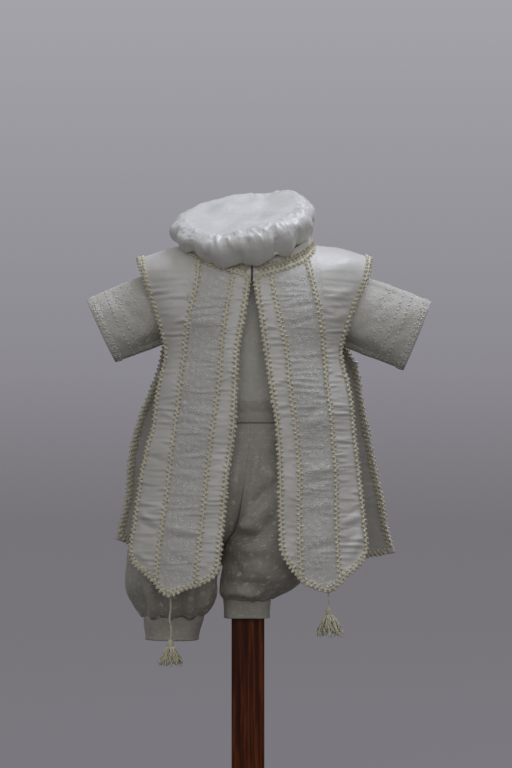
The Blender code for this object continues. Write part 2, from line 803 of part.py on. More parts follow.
def build_cape(cloth, gilt):
    lift = CAPE_WALL / 2 + FACET_ROOM + BRAID_WALL / 2
    fronts = {}
    for name in ("left", "right"):
        mirrored = name == "left"
        grid = front_grid(name, FRONT_COLUMNS)
        fronts[name] = grid
        wall("cape_front_" + name, grid, CAPE_WALL, cloth)
        seen = grid[:, ::-1] if mirrored else grid
        out = -lift if mirrored else lift
        around = FRONT_COLUMNS.index(NECK_ACROSS)
        path, inner = braid_round(seen, around)
        over = np.zeros(len(path))
        over[: around - 1] = np.linspace(NECK_FOLD, NECK_FOLD / 2, around - 1)
        strip = strip_on(seen, path, inner, out + np.sign(out) * over)
        wall("braid_edge_" + name, strip[:, ::-1] if mirrored else strip, BRAID_WALL, gilt)
        for line, across, below in (("inner", 1, 9.5), ("outer", 2, 12.0)):
            path, inner = braid_down(seen, FRONT_COLUMNS.index(across), below)
            over = np.zeros(len(path))
            over[:3] = NECK_FOLD / 3
            strip = strip_on(seen, path, inner, out + np.sign(out) * over)
            wall(f"braid_{line}_{name}", strip[:, ::-1] if mirrored else strip, BRAID_WALL, gilt)
    back = back_grid(BACK_COLUMNS)
    wall("cape_back", back, CAPE_WALL, cloth)
    path, inner = braid_round(back)
    wall("braid_edge_back", strip_on(back, path, inner, lift), BRAID_WALL, gilt)
    wall("braid_neck_back", neck_strip(back, lift), BRAID_WALL, gilt)
    wall("cape_collar", collar_grid(neckline(fronts, back)), CAPE_WALL, cloth)
    return back


# ---------------------------------------------------------------- the beret
def beret_place():
    """The beret's own axes in the world: forward tilt, then its roll to one side."""
    turn = Matrix.Rotation(math.radians(-BERET_ROLL), 3, "Y") @ Matrix.Rotation(
        math.radians(BERET_TILT), 3, "X"
    )
    return np.array(turn), np.array(BERET_CENTRE)


def placed(local):
    turn, centre = beret_place()
    return local @ turn.T + centre


def puff_share(angle):
    """The puff's height round the beret: full in front, and less at the sides and the back,
    where it sits on the shoulders."""
    return smooth(PUFF_SHARE["round"], PUFF_SHARE["share"], np.degrees(angle))


def build_beret(cloth):
    angle = 2 * math.pi * np.arange(PUFF_SIDES) / PUFF_SIDES
    ring = np.stack([np.cos(angle), np.sin(angle)], 1)
    under = [
        np.column_stack([ring * r, 0 * angle + z - CROWN_WALL / 2])
        for r, z in zip(CROWN["radius"], CROWN["height"])
    ]
    over = [row + (0, 0, CROWN_WALL) for row in under[::-1]]
    stacked("beret_crown", [placed(row) for row in under + over], cloth)
    share = puff_share(angle)
    rows = []
    for r, z, along in zip(PUFF["radius"], PUFF["height"], PUFF["along"]):
        gathers = PUFF_GATHER_DEPTH * math.sin(math.pi * along / PUFF["along"][-1])
        radius = r * (1 + gathers * np.cos(PUFF_GATHERS * angle))
        rows.append(np.column_stack([ring * radius[:, None], z * share]))
    wall("beret_puff", placed(np.array(rows)), LIGHT_WALL, cloth, closed=True)
    top = BERET_BAND["height"][0]
    rows = [
        np.column_stack([ring * r, top * share + z - top - BERET_BAND_STEP])
        for r, z in zip(BERET_BAND["radius"], BERET_BAND["height"])
    ]
    wall("beret_band", placed(np.array(rows)), LIGHT_WALL, cloth, closed=True)


# ---------------------------------------------------------------- tassels and bead
def cord_points(name):
    points = np.array(CORDS[name])
    along = np.concatenate([[0], np.cumsum(np.linalg.norm(np.diff(points, axis=0), axis=1))])
    at = np.linspace(0, along[-1], max(2, round(along[-1] / CORD_POINT_SPACING)) + 1)
    return np.stack([smooth(along, points[:, k], at) for k in range(3)], 1)


def build_tassels(silk):
    for name in ("left", "right"):
        heights, radii = TASSELS[name]["height"][::-1], TASSELS[name]["radius"][::-1]
        rings = oval_rings(heights, radii, radii, TASSEL_SIDES, TASSEL_AXIS[name])
        stacked("tassel_" + name, rings, silk)
        curve = bpy.data.curves.new("tassel_cord_" + name, "CURVE")
        curve.dimensions = "3D"
        curve.bevel_depth = CORD_DIAMETER[name] / 2 * MM
        curve.bevel_resolution = 2
        curve.use_fill_caps = True
        line = curve.splines.new("POLY")
        points = cord_points(name)
        line.points.add(len(points) - 1)
        for p, at in zip(line.points, points):
            p.co = (*(at * MM), 1)
        link("tassel_cord_" + name, curve, silk)


def build_bead(pearl, back):
    """A small pearl bead beside the back's right edge, just under the arm."""
    edge = back[::-1, 0]
    at = np.array([np.interp(BEAD_HEIGHT, edge[:, 2], edge[:, k]) for k in range(3)])
    at[0] += BEAD_RADIUS + SEAM_GAP + 0.5
    made = bmesh.new()
    bmesh.ops.create_icosphere(made, subdivisions=2, radius=BEAD_RADIUS * MM)
    bmesh.ops.translate(made, vec=Vector(at) * MM, verts=made.verts)
    mesh = bpy.data.meshes.new("pearl_bead")
    made.to_mesh(mesh)
    made.free()
    mesh.shade_smooth()
    link("pearl_bead", mesh, pearl)


def main():
    clear_scene()
    satin = material("ivory_satin", (0.78, 0.77, 0.73), 0.45)
    brocade = material("ivory_brocade", (0.76, 0.75, 0.70), 0.7)
    gilt = material("cream_gold_braid", (0.72, 0.66, 0.48), 0.4)
    pearl = material("pearl_bead", (0.85, 0.84, 0.80), 0.25)
    wood = material("stained_pine", (0.10, 0.03, 0.015), 0.5)
    linen = material("linen_cover", (0.55, 0.50, 0.43), 0.8)
    build_stand(wood, linen)
    build_shirt(brocade)
    build_breeches(brocade)
    back = build_cape(satin, gilt)
    build_beret(satin)
    build_tassels(gilt)
    build_bead(pearl, back)


main()
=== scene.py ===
"""The looks of a baby's christening outfit on a dress form: an open cape with scroll braid,
a short-sleeved shirt, gathered breeches and a puffed beret, in ivory satin and brocade.

Every cloth piece is a grid of points: rows run down it and columns across it. A grid starts
from the garment's own sizes, is raised here and sunk there along its normals by creases and
gathers, and gets its thickness from a Solidify modifier. Sizes are in millimetres, and MM turns
them to metres where a mesh is made. The front faces -Y, and "left" is -X.
"""

import math

import bpy
import numpy as np
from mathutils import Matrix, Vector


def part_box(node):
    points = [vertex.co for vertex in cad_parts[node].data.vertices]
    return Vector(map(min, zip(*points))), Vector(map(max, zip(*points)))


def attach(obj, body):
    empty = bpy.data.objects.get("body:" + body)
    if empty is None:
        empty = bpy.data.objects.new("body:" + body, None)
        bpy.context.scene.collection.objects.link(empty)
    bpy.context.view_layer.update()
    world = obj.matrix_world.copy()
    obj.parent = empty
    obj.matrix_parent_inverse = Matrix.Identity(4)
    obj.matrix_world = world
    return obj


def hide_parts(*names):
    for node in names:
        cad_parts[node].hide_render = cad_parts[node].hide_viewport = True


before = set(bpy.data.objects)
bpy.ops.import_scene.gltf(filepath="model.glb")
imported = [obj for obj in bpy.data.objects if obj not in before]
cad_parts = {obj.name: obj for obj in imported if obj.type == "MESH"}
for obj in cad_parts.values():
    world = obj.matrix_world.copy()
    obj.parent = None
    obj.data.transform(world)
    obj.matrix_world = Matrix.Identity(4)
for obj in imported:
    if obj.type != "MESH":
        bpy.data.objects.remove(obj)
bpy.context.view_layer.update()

MM = 0.001
SEAM_GAP = 0.3
CLOTH = 1.2  # the shown thickness of the cape, shirt and breeches
RIBBED = 1.6  # and of the waistband and the knee cuffs


# Where each random draw starts, so that the same script always makes the same cloth.
SEEDS = {"left": 3, "right": 8, "back": 21, "collar": 14, "shirt": 30, "breeches": 44, "beret": 52}
RIM_SEED = 53
FIGURE_SEEDS = {"left": 5, "right": 6}
TASSEL_SEED = 60  # and one more for each letter of its name


def table(columns, *rows):
    """A short table with named columns: {column: array}."""
    return dict(zip(columns.split(), np.array(rows, float).T))


# ---------------------------------------------------------------- sizes: the stand
BASE_RADIUS = 110.0
BASE_HEIGHT = 20.0
BASE_ROUNDING = 5.0
POST_SIDE = 36.0
POST_ROUNDING = 3.0
FORM_BOTTOM = 372.0
FORM = table(
    "height half_width half_depth",
    (372, 56, 42), (376, 64, 48), (390, 68, 51), (420, 68, 51), (460, 66, 50), (510, 70, 51),
    (550, 76, 52), (578, 82, 47), (594, 82, 40), (606, 72, 35), (616, 48, 28), (625, 30, 24),
    (636, 26, 22), (648, 25, 21.5), (652, 21, 18),
)

# ---------------------------------------------------------------- sizes: the shirt
SHIRT_CENTRE = 3.0
SHIRT = table(
    "height half_width half_depth armhole",
    (420, 74, 56.5, 0),
    (450, 73, 56.5, 0),
    (500, 77, 58, 0),
    (530, 82, 59, 0),
    (545, 85, 59, 28),
    (566, 88, 57, 40),
    (585, 90, 52, 35),
    (604, 90, 42, 2),
    (611, 78, 39, 0),
    (618, 64, 35, 0),
    (624, 46, 31, 0),
)
SHIRT_SPAN = (423.0, 603.5)
SHIRT_NECK = {"front": 604.5, "back": 618.0, "side": 624.0}
ARMHOLE = (528.0, 606.5)
ARMHOLE_LEAST = 14.0
SLEEVE_STEP = 3.6
SLEEVE_DEPTH = 46.0
SLEEVE_CAP = 3.0
SLEEVES = {
    "left": {"side": -1, "top": (-177, 572), "bottom": (-146, 505)},
    "right": {"side": 1, "top": (201, 570), "bottom": (171, 496)},
}

# ---------------------------------------------------------------- sizes: the breeches
WAISTBAND = table(
    "height half_width half_depth",
    (438.5, 79, 61.5), (450, 78, 60.5), (461.5, 79, 61.5),
)
LEGS = {
    "left": table(
        "height seam outer middle half_depth opening",
        (437, 3, -76, 0, 60, 90),
        (420, 2, -90, 0, 63, 90),
        (388, -2, -104, 2, 65, 84),
        (358, -6, -113, 3, 64, 68),
        (334, -10, -120, 3, 61, 48),
        (318, -15.5, -125, 2, 58, 34),
        (310, -21.5, -127, 2, 57, 20),
        (304, -24, -129, 1, 55, 0),
        (290, -29, -131, 0, 52, 0),
        (265, -34, -134, 0, 47, 0),
        (245, -35, -128, 0, 42, 0),
        (232, -42, -120, 0, 34, 0),
        (225.3, -50, -114, 0, 25, 0),
    ),
    "right": table(
        "height seam outer middle half_depth opening",
        (437, 3, 82, 0, 60, 90),
        (420, 2, 93, 0, 63, 90),
        (388, -2, 101, 2, 65, 84),
        (358, -6, 101, 2, 65, 68),
        (334, -10, 98, 0, 63, 48),
        (318, -15.5, 93, -2, 60, 34),
        (310, -21.5, 90, -2, 59, 20),
        (304, -24, 87, -3, 58, 0),
        (290, -26, 80, -4, 54, 0),
        (268, -30, 62, -3, 46, 0),
        (255, -31, 46, -1, 38, 0),
        (247, -29, 32, 0, 30, 0),
        (243.7, -26, 25, 0, 25, 0),
    ),
}
LEG_FOOT = {"left": 225.6, "right": 244.0}
LEG_GATHERS = 6
GATHER_DEPTH = 0.014
GATHER_DEPTH_LOW = 0.05
GATHER_HEIGHT = 40.0
LEG_TOP = 437.0
SEAM_TURN = 0.2  # how far a seam's edges turn in
SEAM_SHARE = 0.004  # the share of the way round that each seam's edge takes up
TUCK = 4.0  # how far a leg reaches up behind the waistband, and a cuff up into a leg
CUFFS = {
    "left": table(
        "height centre half_width half_depth squareness",
        (199.5, -83.5, 28.5, 22, 2.2),
        (212, -83, 30.5, 23.5, 2.2),
        (224.3, -82, 32, 25, 2.2),
    ),
    "right": table(
        "height centre half_width half_depth squareness",
        (224.0, -1, 24.2, 24.2, 3.6),
        (233, -1, 24.8, 24.8, 3.6),
        (242.7, -1, 25.5, 25.5, 3.2),
    ),
}

# ---------------------------------------------------------------- sizes: the cape
# Across each front, its four lines of braid at a height: the front edge, two inner lines and
# the side edge. A place between them is a number from 0, the front edge, to 3, the side edge.
FRONTS = {
    "left": table(
        "height front_edge inner_braid outer_braid side_edge",
        (632, 4, -10, -56, -126),
        (600, 3.6, -15, -53, -115),
        (551, -3, -24, -63, -98),
        (525, -8, -27, -67, -90),
        (477, -11, -31, -72, -96),
        (435, -13, -37, -78, -103),
        (386, -20, -43, -84, -114),
        (337, -25, -48, -90, -122),
        (295, -29, -53, -96, -128),
        (250, -33, -58, -99, -128),
    ),
    "right": table(
        "height front_edge inner_braid outer_braid side_edge",
        (632, 5, 17, 58, 138),
        (600, 5.4, 24, 67, 131.5),
        (551, 12, 34, 78, 111),
        (525, 16, 40, 81, 102),
        (477, 23, 45, 85, 109),
        (435, 30, 51, 90, 115),
        (386, 33, 55, 94, 120),
        (337, 34, 55, 95, 125),
        (295, 36, 56, 97, 129),
        (250, 42, 60, 101, 129),
    ),
}
STAND_OFF = table(
    "height front back",
    (640, 76, 66), (540, 76, 68), (480, 80, 73), (435, 82, 77), (386, 82, 81), (300, 86, 86),
    (240, 87, 90),
)
SPAN_SHARE = {"front": 0.893, "back": 0.85}
ROUNDNESS = 2.3
ROLL_START = 540.0
CAPE_CENTRE = 6.0
CAPE_MIDDLE = np.array([CAPE_CENTRE, 0, 440.0])
RIDGE = table("from_centre height", (0, 643), (60, 633), (90, 627.5), (128, 617.5))
FRONT_TOP = table(
    "across height", (0, 598), (0.5, 600), (1, 603), (1.35, 606.5), (1.7, 611), (2, 618)
)
FRONT_HEM = {
    "left": table(
        "across height",
        (0, 277), (0.5, 268), (1, 262), (1.35, 257), (1.7, 251.5), (2, 263), (2.33, 273),
        (2.67, 281), (3, 294),
    ),
    "right": table(
        "across height",
        (0, 300), (0.5, 281), (1, 267), (1.35, 260), (1.7, 256.5), (2, 267), (2.33, 276),
        (2.67, 285), (3, 297),
    ),
}
NECK_ACROSS = 2.15
BACK_SIDES = table(
    "height left right",
    (632, -126, 136), (600, -115, 130), (551, -98, 111), (525, -93, 108), (500, -99, 121),
    (470, -110, 127), (441, -122, 132), (395, -133, 141), (350, -137, 151), (311, -147, 158),
    (290, -151, 165),
)
BACK_HEM = table(
    "across height",
    (-1, 306), (-0.8, 296), (-0.45, 281), (0, 273), (0.45, 277), (0.8, 285), (1, 291),
)
BACK_NECK = 0.54
BACK_FOLDS = 3
BACK_FOLD_DEPTH = 5.0
BACK_FOLD_FADE = 250.0
NECK_BACK = 629.0
NECK_POINT = {"left": -66.0, "right": 70.0}
COLLAR_HEIGHT = table(
    "round height", (0, 11), (0.25, 4), (0.5, 8), (0.7, 9), (0.8, 13.5), (0.88, 13), (1, 11)
)
COLLAR_LEAN = 2.5
COLLAR_STEP = 1.5
COLLAR_TUCK = 5.0  # how far the collar reaches down behind the neckline
BRAID_WIDTH = 7.0
BRAID_INSET = 0.5

# ---------------------------------------------------------------- sizes: the beret
BERET_CENTRE = (-7.0, -15.0, 668.0)
BERET_TILT = 20.5
BERET_ROLL = 8.0
CROWN = table("radius height", (3, -4), (25, -3.2), (48, -0.8), (65.5, 0.4))
# The puff slopes down from the crown's edge to a soft rim, turns under there and runs in to the
# band. along counts its parts, from 0 at the crown to 6 at the band.
PUFF = table(
    "along radius height",
    (0, 62.5, -0.9), (0.35, 65.6, -0.2), (0.8, 70.2, -1.8), (1.3, 74.4, -5.6),
    (1.7, 77.2, -10.2), (2.1, 78.4, -15.5), (2.8, 77.6, -23), (3.4, 75.2, -30.5),
    (4, 70.4, -36.8), (5, 62.5, -31), (6, 48.3, -25.5),
)
PUFF_SHARE = table(
    "round share",
    (-30, 0.88), (0, 0.75), (90, 0.72), (180, 0.66), (215, 0.7), (240, 0.93), (270, 1.02),
    (300, 1.0), (330, 0.88), (360, 0.75), (450, 0.72),
)
PUFF_MIDDLE = (58.0, -17.0)  # the middle of its section: radius and height
BERET_BAND = table("height radius", (-25.5, 45.2), (-30.5, 43.2))
BERET_BAND_STEP = 1.9

# ---------------------------------------------------------------- sizes: tassels and bead
CORDS = {
    "left": (
        (-82.0, -70.5, 259.0), (-83.0, -71.5, 250.0), (-82.6, -72.8, 240.0),
        (-84.0, -73.6, 228.0), (-82.2, -73.5, 217.0), (-83.0, -73.5, 206.2),
    ),
    "right": (
        (87.0, -68.8, 271.5), (87.4, -70.0, 262.0), (86.6, -71.2, 254.0), (87.3, -71.8, 247.0),
        (87.0, -72.0, 240.6),
    ),
}
CORD_DIAMETER = {"left": 2.0, "right": 1.4}
CORD_POINTS = 24
TASSELS = {
    "left": {"axis": (-83.0, -73.5), "top": 205.6, "neck": 197.5, "hem": 175.5, "reach": 13.5},
    "right": {"axis": (87.0, -72.0), "top": 240.0, "neck": 231.5, "hem": 207.0, "reach": 16.0},
}
BEAD_RADIUS = 2.4


# ---------------------------------------------------------------- curves and grids
def smooth(known, values, at):
    """A smooth curve through the points, as cubic Hermite pieces whose slopes come from the
    points on both sides, read at the places asked for. Past an end it keeps the end's value."""
    order = np.argsort(known)
    x, y = np.asarray(known, float)[order], np.asarray(values, float)[order]
    slope = np.gradient(y, x)
    at = np.clip(np.asarray(at, float), x[0], x[-1])
    i = np.clip(np.searchsorted(x, at, side="right") - 1, 0, len(x) - 2)
    h = x[i + 1] - x[i]
    t = (at - x[i]) / h
    rise = (1 + 2 * t) * (1 - t) ** 2 * y[i] + t * t * (3 - 2 * t) * y[i + 1]
    return rise + h * (t * (1 - t) ** 2 * slope[i] + t * t * (t - 1) * slope[i + 1])


def column(of, name, at, by="height"):
    """One column of a table, read at any value of another."""
    return smooth(of[by], of[name], at)


def travelled(line):
    """The distance along a line of points to each of them."""
    return np.concatenate([[0], np.cumsum(np.linalg.norm(np.diff(line, axis=0), axis=1))])


def along_line(at, far, line):
    """The columns of a line's points, read at distances along it."""
    return np.stack([np.interp(at, far, line[:, k]) for k in range(line.shape[1])], 1)


def averaged(line, width):
    """A line with each point averaged over width neighbours, and its two ends left in place."""
    padded = np.pad(line, ((width // 2, width // 2), (0, 0)), "edge")
    soft = np.lib.stride_tricks.sliding_window_view(padded, width, 0).mean(-1)
    soft[[0, -1]] = line[[0, -1]]
    return soft


def circle(sides):
    """The angles of evenly spaced points round a whole turn."""
    return 2 * math.pi * np.arange(sides) / sides


def power_ellipse(angle, half_x, half_y, squareness=2.0):
    """Points round an ellipse whose corners fill out as squareness rises over 2."""
    c, s = np.cos(angle), np.sin(angle)
    k = (np.abs(c) ** squareness + np.abs(s) ** squareness) ** (-1 / squareness)
    return half_x * k * c, half_y * k * s


def xyz(x, y, z):
    """One grid of points from its coordinates, each spread to the same shape."""
    return np.stack(np.broadcast_arrays(x, y, z), -1)


def swept(radius, angle, height):
    """Rings of points round the Z axis, one for each radius and height."""
    return xyz(np.outer(radius, np.cos(angle)), np.outer(radius, np.sin(angle)), height[:, None])


def quads(rows, cols, closed):
    """The rows and columns of the grid's cells, each an array (rows, cells)."""
    return np.meshgrid(np.arange(rows - 1), np.arange(cols - (not closed)), indexing="ij")


def ease(t):
    """A step from 0 to 1 with level ends: 3t^2 - 2t^3."""
    t = np.clip(t, 0, 1)
    return t * t * (3 - 2 * t)


def unit(vectors):
    """The same directions with length 1."""
    return vectors / np.maximum(np.linalg.norm(vectors, axis=-1, keepdims=True), 1e-9)


class Cloth:
    """A sheet as a grid of points (rows, columns, xyz). It knows its outward normals, which
    point away from middle, and u and v, the millimetres across and down it to each point."""

    def __init__(self, points, middle, closed=False):
        self.points, self.middle, self.closed = points, middle, closed
        last = np.roll(points, -1, 1) if closed else points
        wide = np.linalg.norm(np.diff(points, axis=1), axis=2)
        if closed:
            wide = np.concatenate([wide, np.linalg.norm(last - points, axis=2)[:, -1:]], 1)
        zero = np.zeros((len(points), 1))
        self.u = np.concatenate([zero, np.cumsum(wide, 1)], 1)
        tall = np.linalg.norm(np.diff(points, axis=0), axis=2)
        self.v = np.concatenate([np.zeros((1, points.shape[1])), np.cumsum(tall, 0)], 0)
        if closed:
            self.v = np.concatenate([self.v, self.v[:, :1]], 1)
            across = np.roll(points, -1, 1) - np.roll(points, 1, 1)
        else:
            across = np.gradient(points, axis=1)
        normals = unit(np.cross(np.gradient(points, axis=0), across))
        self.turned = np.sum((points - middle) * normals) < 0
        self.normals = -normals if self.turned else normals

    def raised(self, relief):
        """The same sheet with each point moved out along its normal by its relief."""
        made = Cloth(self.points + self.normals * relief[..., None], self.middle, self.closed)
        made.u, made.v = self.u, self.v
        return made

    def read(self, row, col):
        """Points and normals at fractional rows and columns, by mixing the four round each."""
        rows, cols = self.points.shape[:2]
        row = np.clip(row, 0, rows - 1.001)
        col = col % cols if self.closed else np.clip(col, 0, cols - 1.001)
        r, c = np.floor(row).astype(int), np.floor(col).astype(int)
        n = (c + 1) % cols
        fr, fc = (row - r)[..., None], (col - c)[..., None]
        found = []
        for of in (self.points, self.normals):
            top = of[r, c] * (1 - fc) + of[r, n] * fc
            low = of[r + 1, c] * (1 - fc) + of[r + 1, n] * fc
            found.append(top * (1 - fr) + low * fr)
        return found[0], unit(found[1])

    def place(self, u, v):
        """The fractional row and column at u across and v down. A negative u or v counts from
        the last column or row."""
        rows = len(self.points)
        row = (rows - 1) / 2
        for _ in range(2):
            line = self.u[int(round(row))]
            col = float(np.interp(u if u >= 0 else line[-1] + u, line, np.arange(len(line))))
            down = self.v[:, int(round(col)) % self.v.shape[1]]
            row = float(np.interp(v if v >= 0 else down[-1] + v, down, np.arange(rows)))
        return row, col

    def steps(self, row, col):
        """The millimetres from one row and one column to the next at these places."""
        r = np.clip(np.round(row).astype(int), 0, len(self.points) - 2)
        c = np.clip(np.round(col).astype(int), 0, self.u.shape[1] - 2)
        return self.v[r + 1, c] - self.v[r, c], self.u[r, c + 1] - self.u[r, c]


# ---------------------------------------------------------------- making meshes
def piece(name, points, faces, finish, uv=None, nodes=()):
    """A smooth mesh from points in millimetres and faces, riding on the body. uv holds a pair
    of millimetres for each corner of each face, in order."""
    mesh = bpy.data.meshes.new(name)
    mesh.from_pydata(points.reshape(-1, 3) * MM, [], faces)
    if uv is not None:
        mesh.uv_layers.new(name="UVMap").data.foreach_set("uv", (uv * MM).astype(np.float32).ravel())
    mesh.shade_smooth()
    mesh.materials.append(finish)
    obj = bpy.data.objects.new(name, mesh)
    bpy.context.scene.collection.objects.link(obj)
    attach(obj, "root")
    if nodes:
        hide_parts(*nodes)
    return obj


def sew(name, cloth, wall, finish, slot, *nodes, second=None, where=None):
    """A sheet as a thin shell: a quad between each four points, wound so that it faces out,
    then made wall thick, half on each side. Its columns in where take the second finish."""
    rows, cols = cloth.points.shape[:2]
    r, c = quads(rows, cols, cloth.closed)
    corners = [(r, c), (r + 1, c), (r + 1, c + 1), (r, c + 1)]
    if cloth.turned:
        corners = corners[::-1]
    faces = np.stack([a * cols + b % cols for a, b in corners], -1).reshape(-1, 4)
    uv = np.stack([np.stack([cloth.u[a, b], cloth.v[a, b]], -1) for a, b in corners], 2)
    made = piece(name, cloth.points, faces.tolist(), finish, uv, nodes)
    if second is not None:
        made.data.materials.append(second)
        picked = np.isin(c, where).astype(np.int32).ravel()
        made.data.polygons.foreach_set("material_index", picked)
    solid = made.modifiers.new("thickness", "SOLIDIFY")
    solid.thickness = wall * MM
    solid.offset = 0
    return made


def tubes(centres, radii, up, sides=6, flat=1.0):
    """Round tubes along lines of centres (tubes, points, xyz), each closed to a point at both
    ends. A ring lies square to its line: its width is the radius, and its height, towards up,
    is the radius times flat. Returns points, faces and a uv for each corner of each face."""
    count, length = centres.shape[:2]
    along = unit(np.gradient(centres, axis=1))
    beside = unit(np.cross(along, up))
    above = np.cross(beside, along)
    turn = circle(sides)
    around = beside[:, :, None] * np.cos(turn)[:, None]
    around = around + flat * above[:, :, None] * np.sin(turn)[:, None]
    rings = centres[:, 1:-1, None] + around[:, 1:-1] * radii[:, 1:-1, None, None]
    body = rings.reshape(count, -1, 3)
    points = np.concatenate([centres[:, :1], centres[:, -1:], body], 1)
    i, j = quads(length - 2, sides, True)
    k = (j + 1) % sides
    body_faces = (i * sides + j, i * sides + k, (i + 1) * sides + k, (i + 1) * sides + j)
    body_faces = 2 + np.stack(body_faces, -1)
    j = np.arange(sides)
    k = (j + 1) % sides
    foot = 2 + (length - 3) * sides
    ends = np.stack([0 * j, 2 + k, 2 + j], -1), np.stack([0 * j + 1, foot + j, foot + k], -1)
    each = points.shape[1]
    faces = []
    for block in (body_faces.reshape(-1, 4), *ends):
        block = block[None] + each * np.arange(count)[:, None, None]
        faces += block.reshape(-1, block.shape[2]).tolist()
    far = np.stack([travelled(line) for line in centres])
    vertex_uv = np.zeros((count, each, 2))
    vertex_uv[:, 1, 0] = far[:, -1]
    vertex_uv[:, 2:, 0] = np.repeat(far[:, 1:-1], sides, 1)
    vertex_uv[:, 2:, 1] = np.tile(np.arange(sides), length - 2) / sides * 2 * math.pi * radii.max()
    flat_uv = vertex_uv.reshape(-1, 2)
    uv = flat_uv[np.concatenate([np.array(f) for f in faces])]
    return points.reshape(-1, 3), faces, uv


def threads(name, parts, finish, slot, *nodes):
    """Several tubes' (points, faces, uv) as one piece."""
    points, faces, uvs, start = [], [], [], 0
    for p, f, uv in parts:
        points.append(p)
        faces += [[i + start for i in face] for face in f]
        uvs.append(uv)
        start += len(p)
    return piece(name, np.concatenate(points), faces, finish, np.concatenate(uvs), nodes)


# ---------------------------------------------------------------- creases and gathers
def creases(a, b, rows):
    """Soft ridges (height over 0) and troughs (under 0), given row by row. Each row is
    a0 b0 a1 b1 width height: its height falls off beside the line from (a0, b0) to (a1, b1) as
    a bell, and towards the line's two ends."""
    total = np.zeros(np.broadcast(a, b).shape)
    for a0, b0, a1, b1, width, height in rows:
        da, db = a1 - a0, b1 - b0
        t = ((a - a0) * da + (b - b0) * db) / (da * da + db * db)
        near = np.clip(t, 0, 1)
        away = np.hypot(a - a0 - near * da, b - b0 - near * db)
        total += height * np.exp(-((away / width) ** 2)) * (0.35 + 0.65 * np.sin(math.pi * near))
    return total


def puckers(draw, share, down, spacing, height, across, hold=0.5):
    """Small gathers that a line of stitching pulls into the strip beside it: soft ridges
    straight across the strip, unevenly spaced, tilted and tall. share runs from 0 to 1 across
    the strip, and down is the millimetres down it. A ridge starts at one of its edges, at its
    first with the chance hold, and dies out before or at the other."""
    total = np.zeros(share.shape)
    share = np.clip(share, 0, 1)
    inside = np.clip(np.sin(math.pi * share) * 4.5, 0, 1)
    at = draw.uniform(0, spacing)
    while at < down.max():
        tilt, wide = draw.uniform(-0.1, 0.1), draw.uniform(0.9, 1.8)
        tall, reach = (0.3 + draw.random() ** 2) * height, 0.3 + draw.random() ** 1.5
        start = share if draw.random() < hold else 1 - share
        bow = draw.uniform(-1.5, 1.5) * np.sin(math.pi * share)
        away = down - at - tilt * across * (share - 0.5) - bow
        sharp = np.exp(-((away / wide) ** 2))
        sharp -= 0.5 * np.exp(-(((away - 1.9 * wide) / (1.3 * wide)) ** 2))
        total += tall * sharp * ease(1.25 - start / reach)
        at += draw.uniform(0.4, 1.6) * spacing
    return total * inside


def crumple(a, b, size, height, draw, waves=9):
    """Soft unevenness of handled cloth: a sum of long waves in many directions."""
    total = np.zeros(np.broadcast(a, b).shape)
    for _ in range(waves):
        turn, phase = draw.uniform(0, 2 * math.pi), draw.uniform(0, 7)
        long = size * draw.uniform(0.6, 1.7)
        total += np.sin((a * math.cos(turn) + b * math.sin(turn)) / long * 2 * math.pi + phase)
    return total * height / math.sqrt(waves)


# ---------------------------------------------------------------- finishes
def colour(code):
    """A colour socket's value from an sRGB hex code, turned to linear light."""
    parts = [int(code[i : i + 2], 16) / 255 for i in (1, 3, 5)]
    linear = [p / 12.92 if p <= 0.04045 else ((p + 0.055) / 1.055) ** 2.4 for p in parts]
    return (*linear, 1.0)


def add(tree, kind, inputs=(), out=0, stops=(), **settings):
    """Adds one shader node and gives back one of its outputs, by name or number. inputs are
    its sockets, each a value or another node's output to link, settings are its properties,
    and stops are a colour ramp's (place, hex code)."""
    made = tree.nodes.new("ShaderNode" + kind)
    for key, value in settings.items():
        setattr(made, key, value)
    for key, value in dict(inputs).items():
        if isinstance(value, bpy.types.NodeSocket):
            tree.links.new(value, made.inputs[key])
        else:
            made.inputs[key].default_value = value
    for i, (place, code) in enumerate(stops):
        elements = made.color_ramp.elements
        element = elements[i] if i < len(elements) else elements.new(place)
        element.position = place
        element.color = colour(code)
    return made.outputs[out]


def finish(name, **sockets):
    """A material, its node tree and its Principled shader's inputs, some set by name with _
    for a space."""
    made = bpy.data.materials.new(name)
    made.use_nodes = True
    inputs = made.node_tree.nodes["Principled BSDF"].inputs
    for key, value in sockets.items():
        inputs[key.replace("_", " ")].default_value = value
    return made, made.node_tree, inputs


def mapped(tree):
    """The two places that patterns read: the piece's own UV map and its Object coordinates."""
    return add(tree, "UVMap", out="UV", uv_map="UVMap"), add(tree, "TexCoord", out="Object")


def noise(tree, at, size, detail, out="Fac", **more):
    """Noise in lumps about size millimetres wide."""
    return add(tree, "TexNoise", {"Vector": at, "Scale": 1 / (size * MM), "Detail": detail} | more, out)


def remap(tree, value, low, high, start=0.0, end=1.0):
    """Runs from low to high as the value goes from start to end."""
    inputs = {"Value": value, "From Min": start, "From Max": end, "To Min": low, "To Max": high}
    return add(tree, "MapRange", inputs)


def maths(tree, operation, one, two):
    return add(tree, "Math", {0: one, 1: two}, operation=operation)


def ramp(tree, socket, share, *stops):
    """Colours a socket by a ramp of (place, hex code) stops."""
    tree.links.new(add(tree, "ValToRGB", {"Fac": share}, stops=stops), socket)


def bumped(tree, shader, *layers):
    """Links bumps laid one over another, each a (height, millimetres, strength)."""
    normal = {}
    for height, distance, strength in layers:
        inputs = {"Height": height, "Distance": distance * MM, "Strength": strength}
        normal = {"Normal": add(tree, "Bump", inputs | normal)}
    tree.links.new(normal["Normal"], shader["Normal"])


def stripes(tree, uv, pitch, direction="X"):
    """Rounded stripes, pitch millimetres apart."""
    inputs = {"Vector": uv, "Scale": math.pi / (10 * pitch * MM)}
    return add(tree, "TexWave", inputs, "Fac", bands_direction=direction)


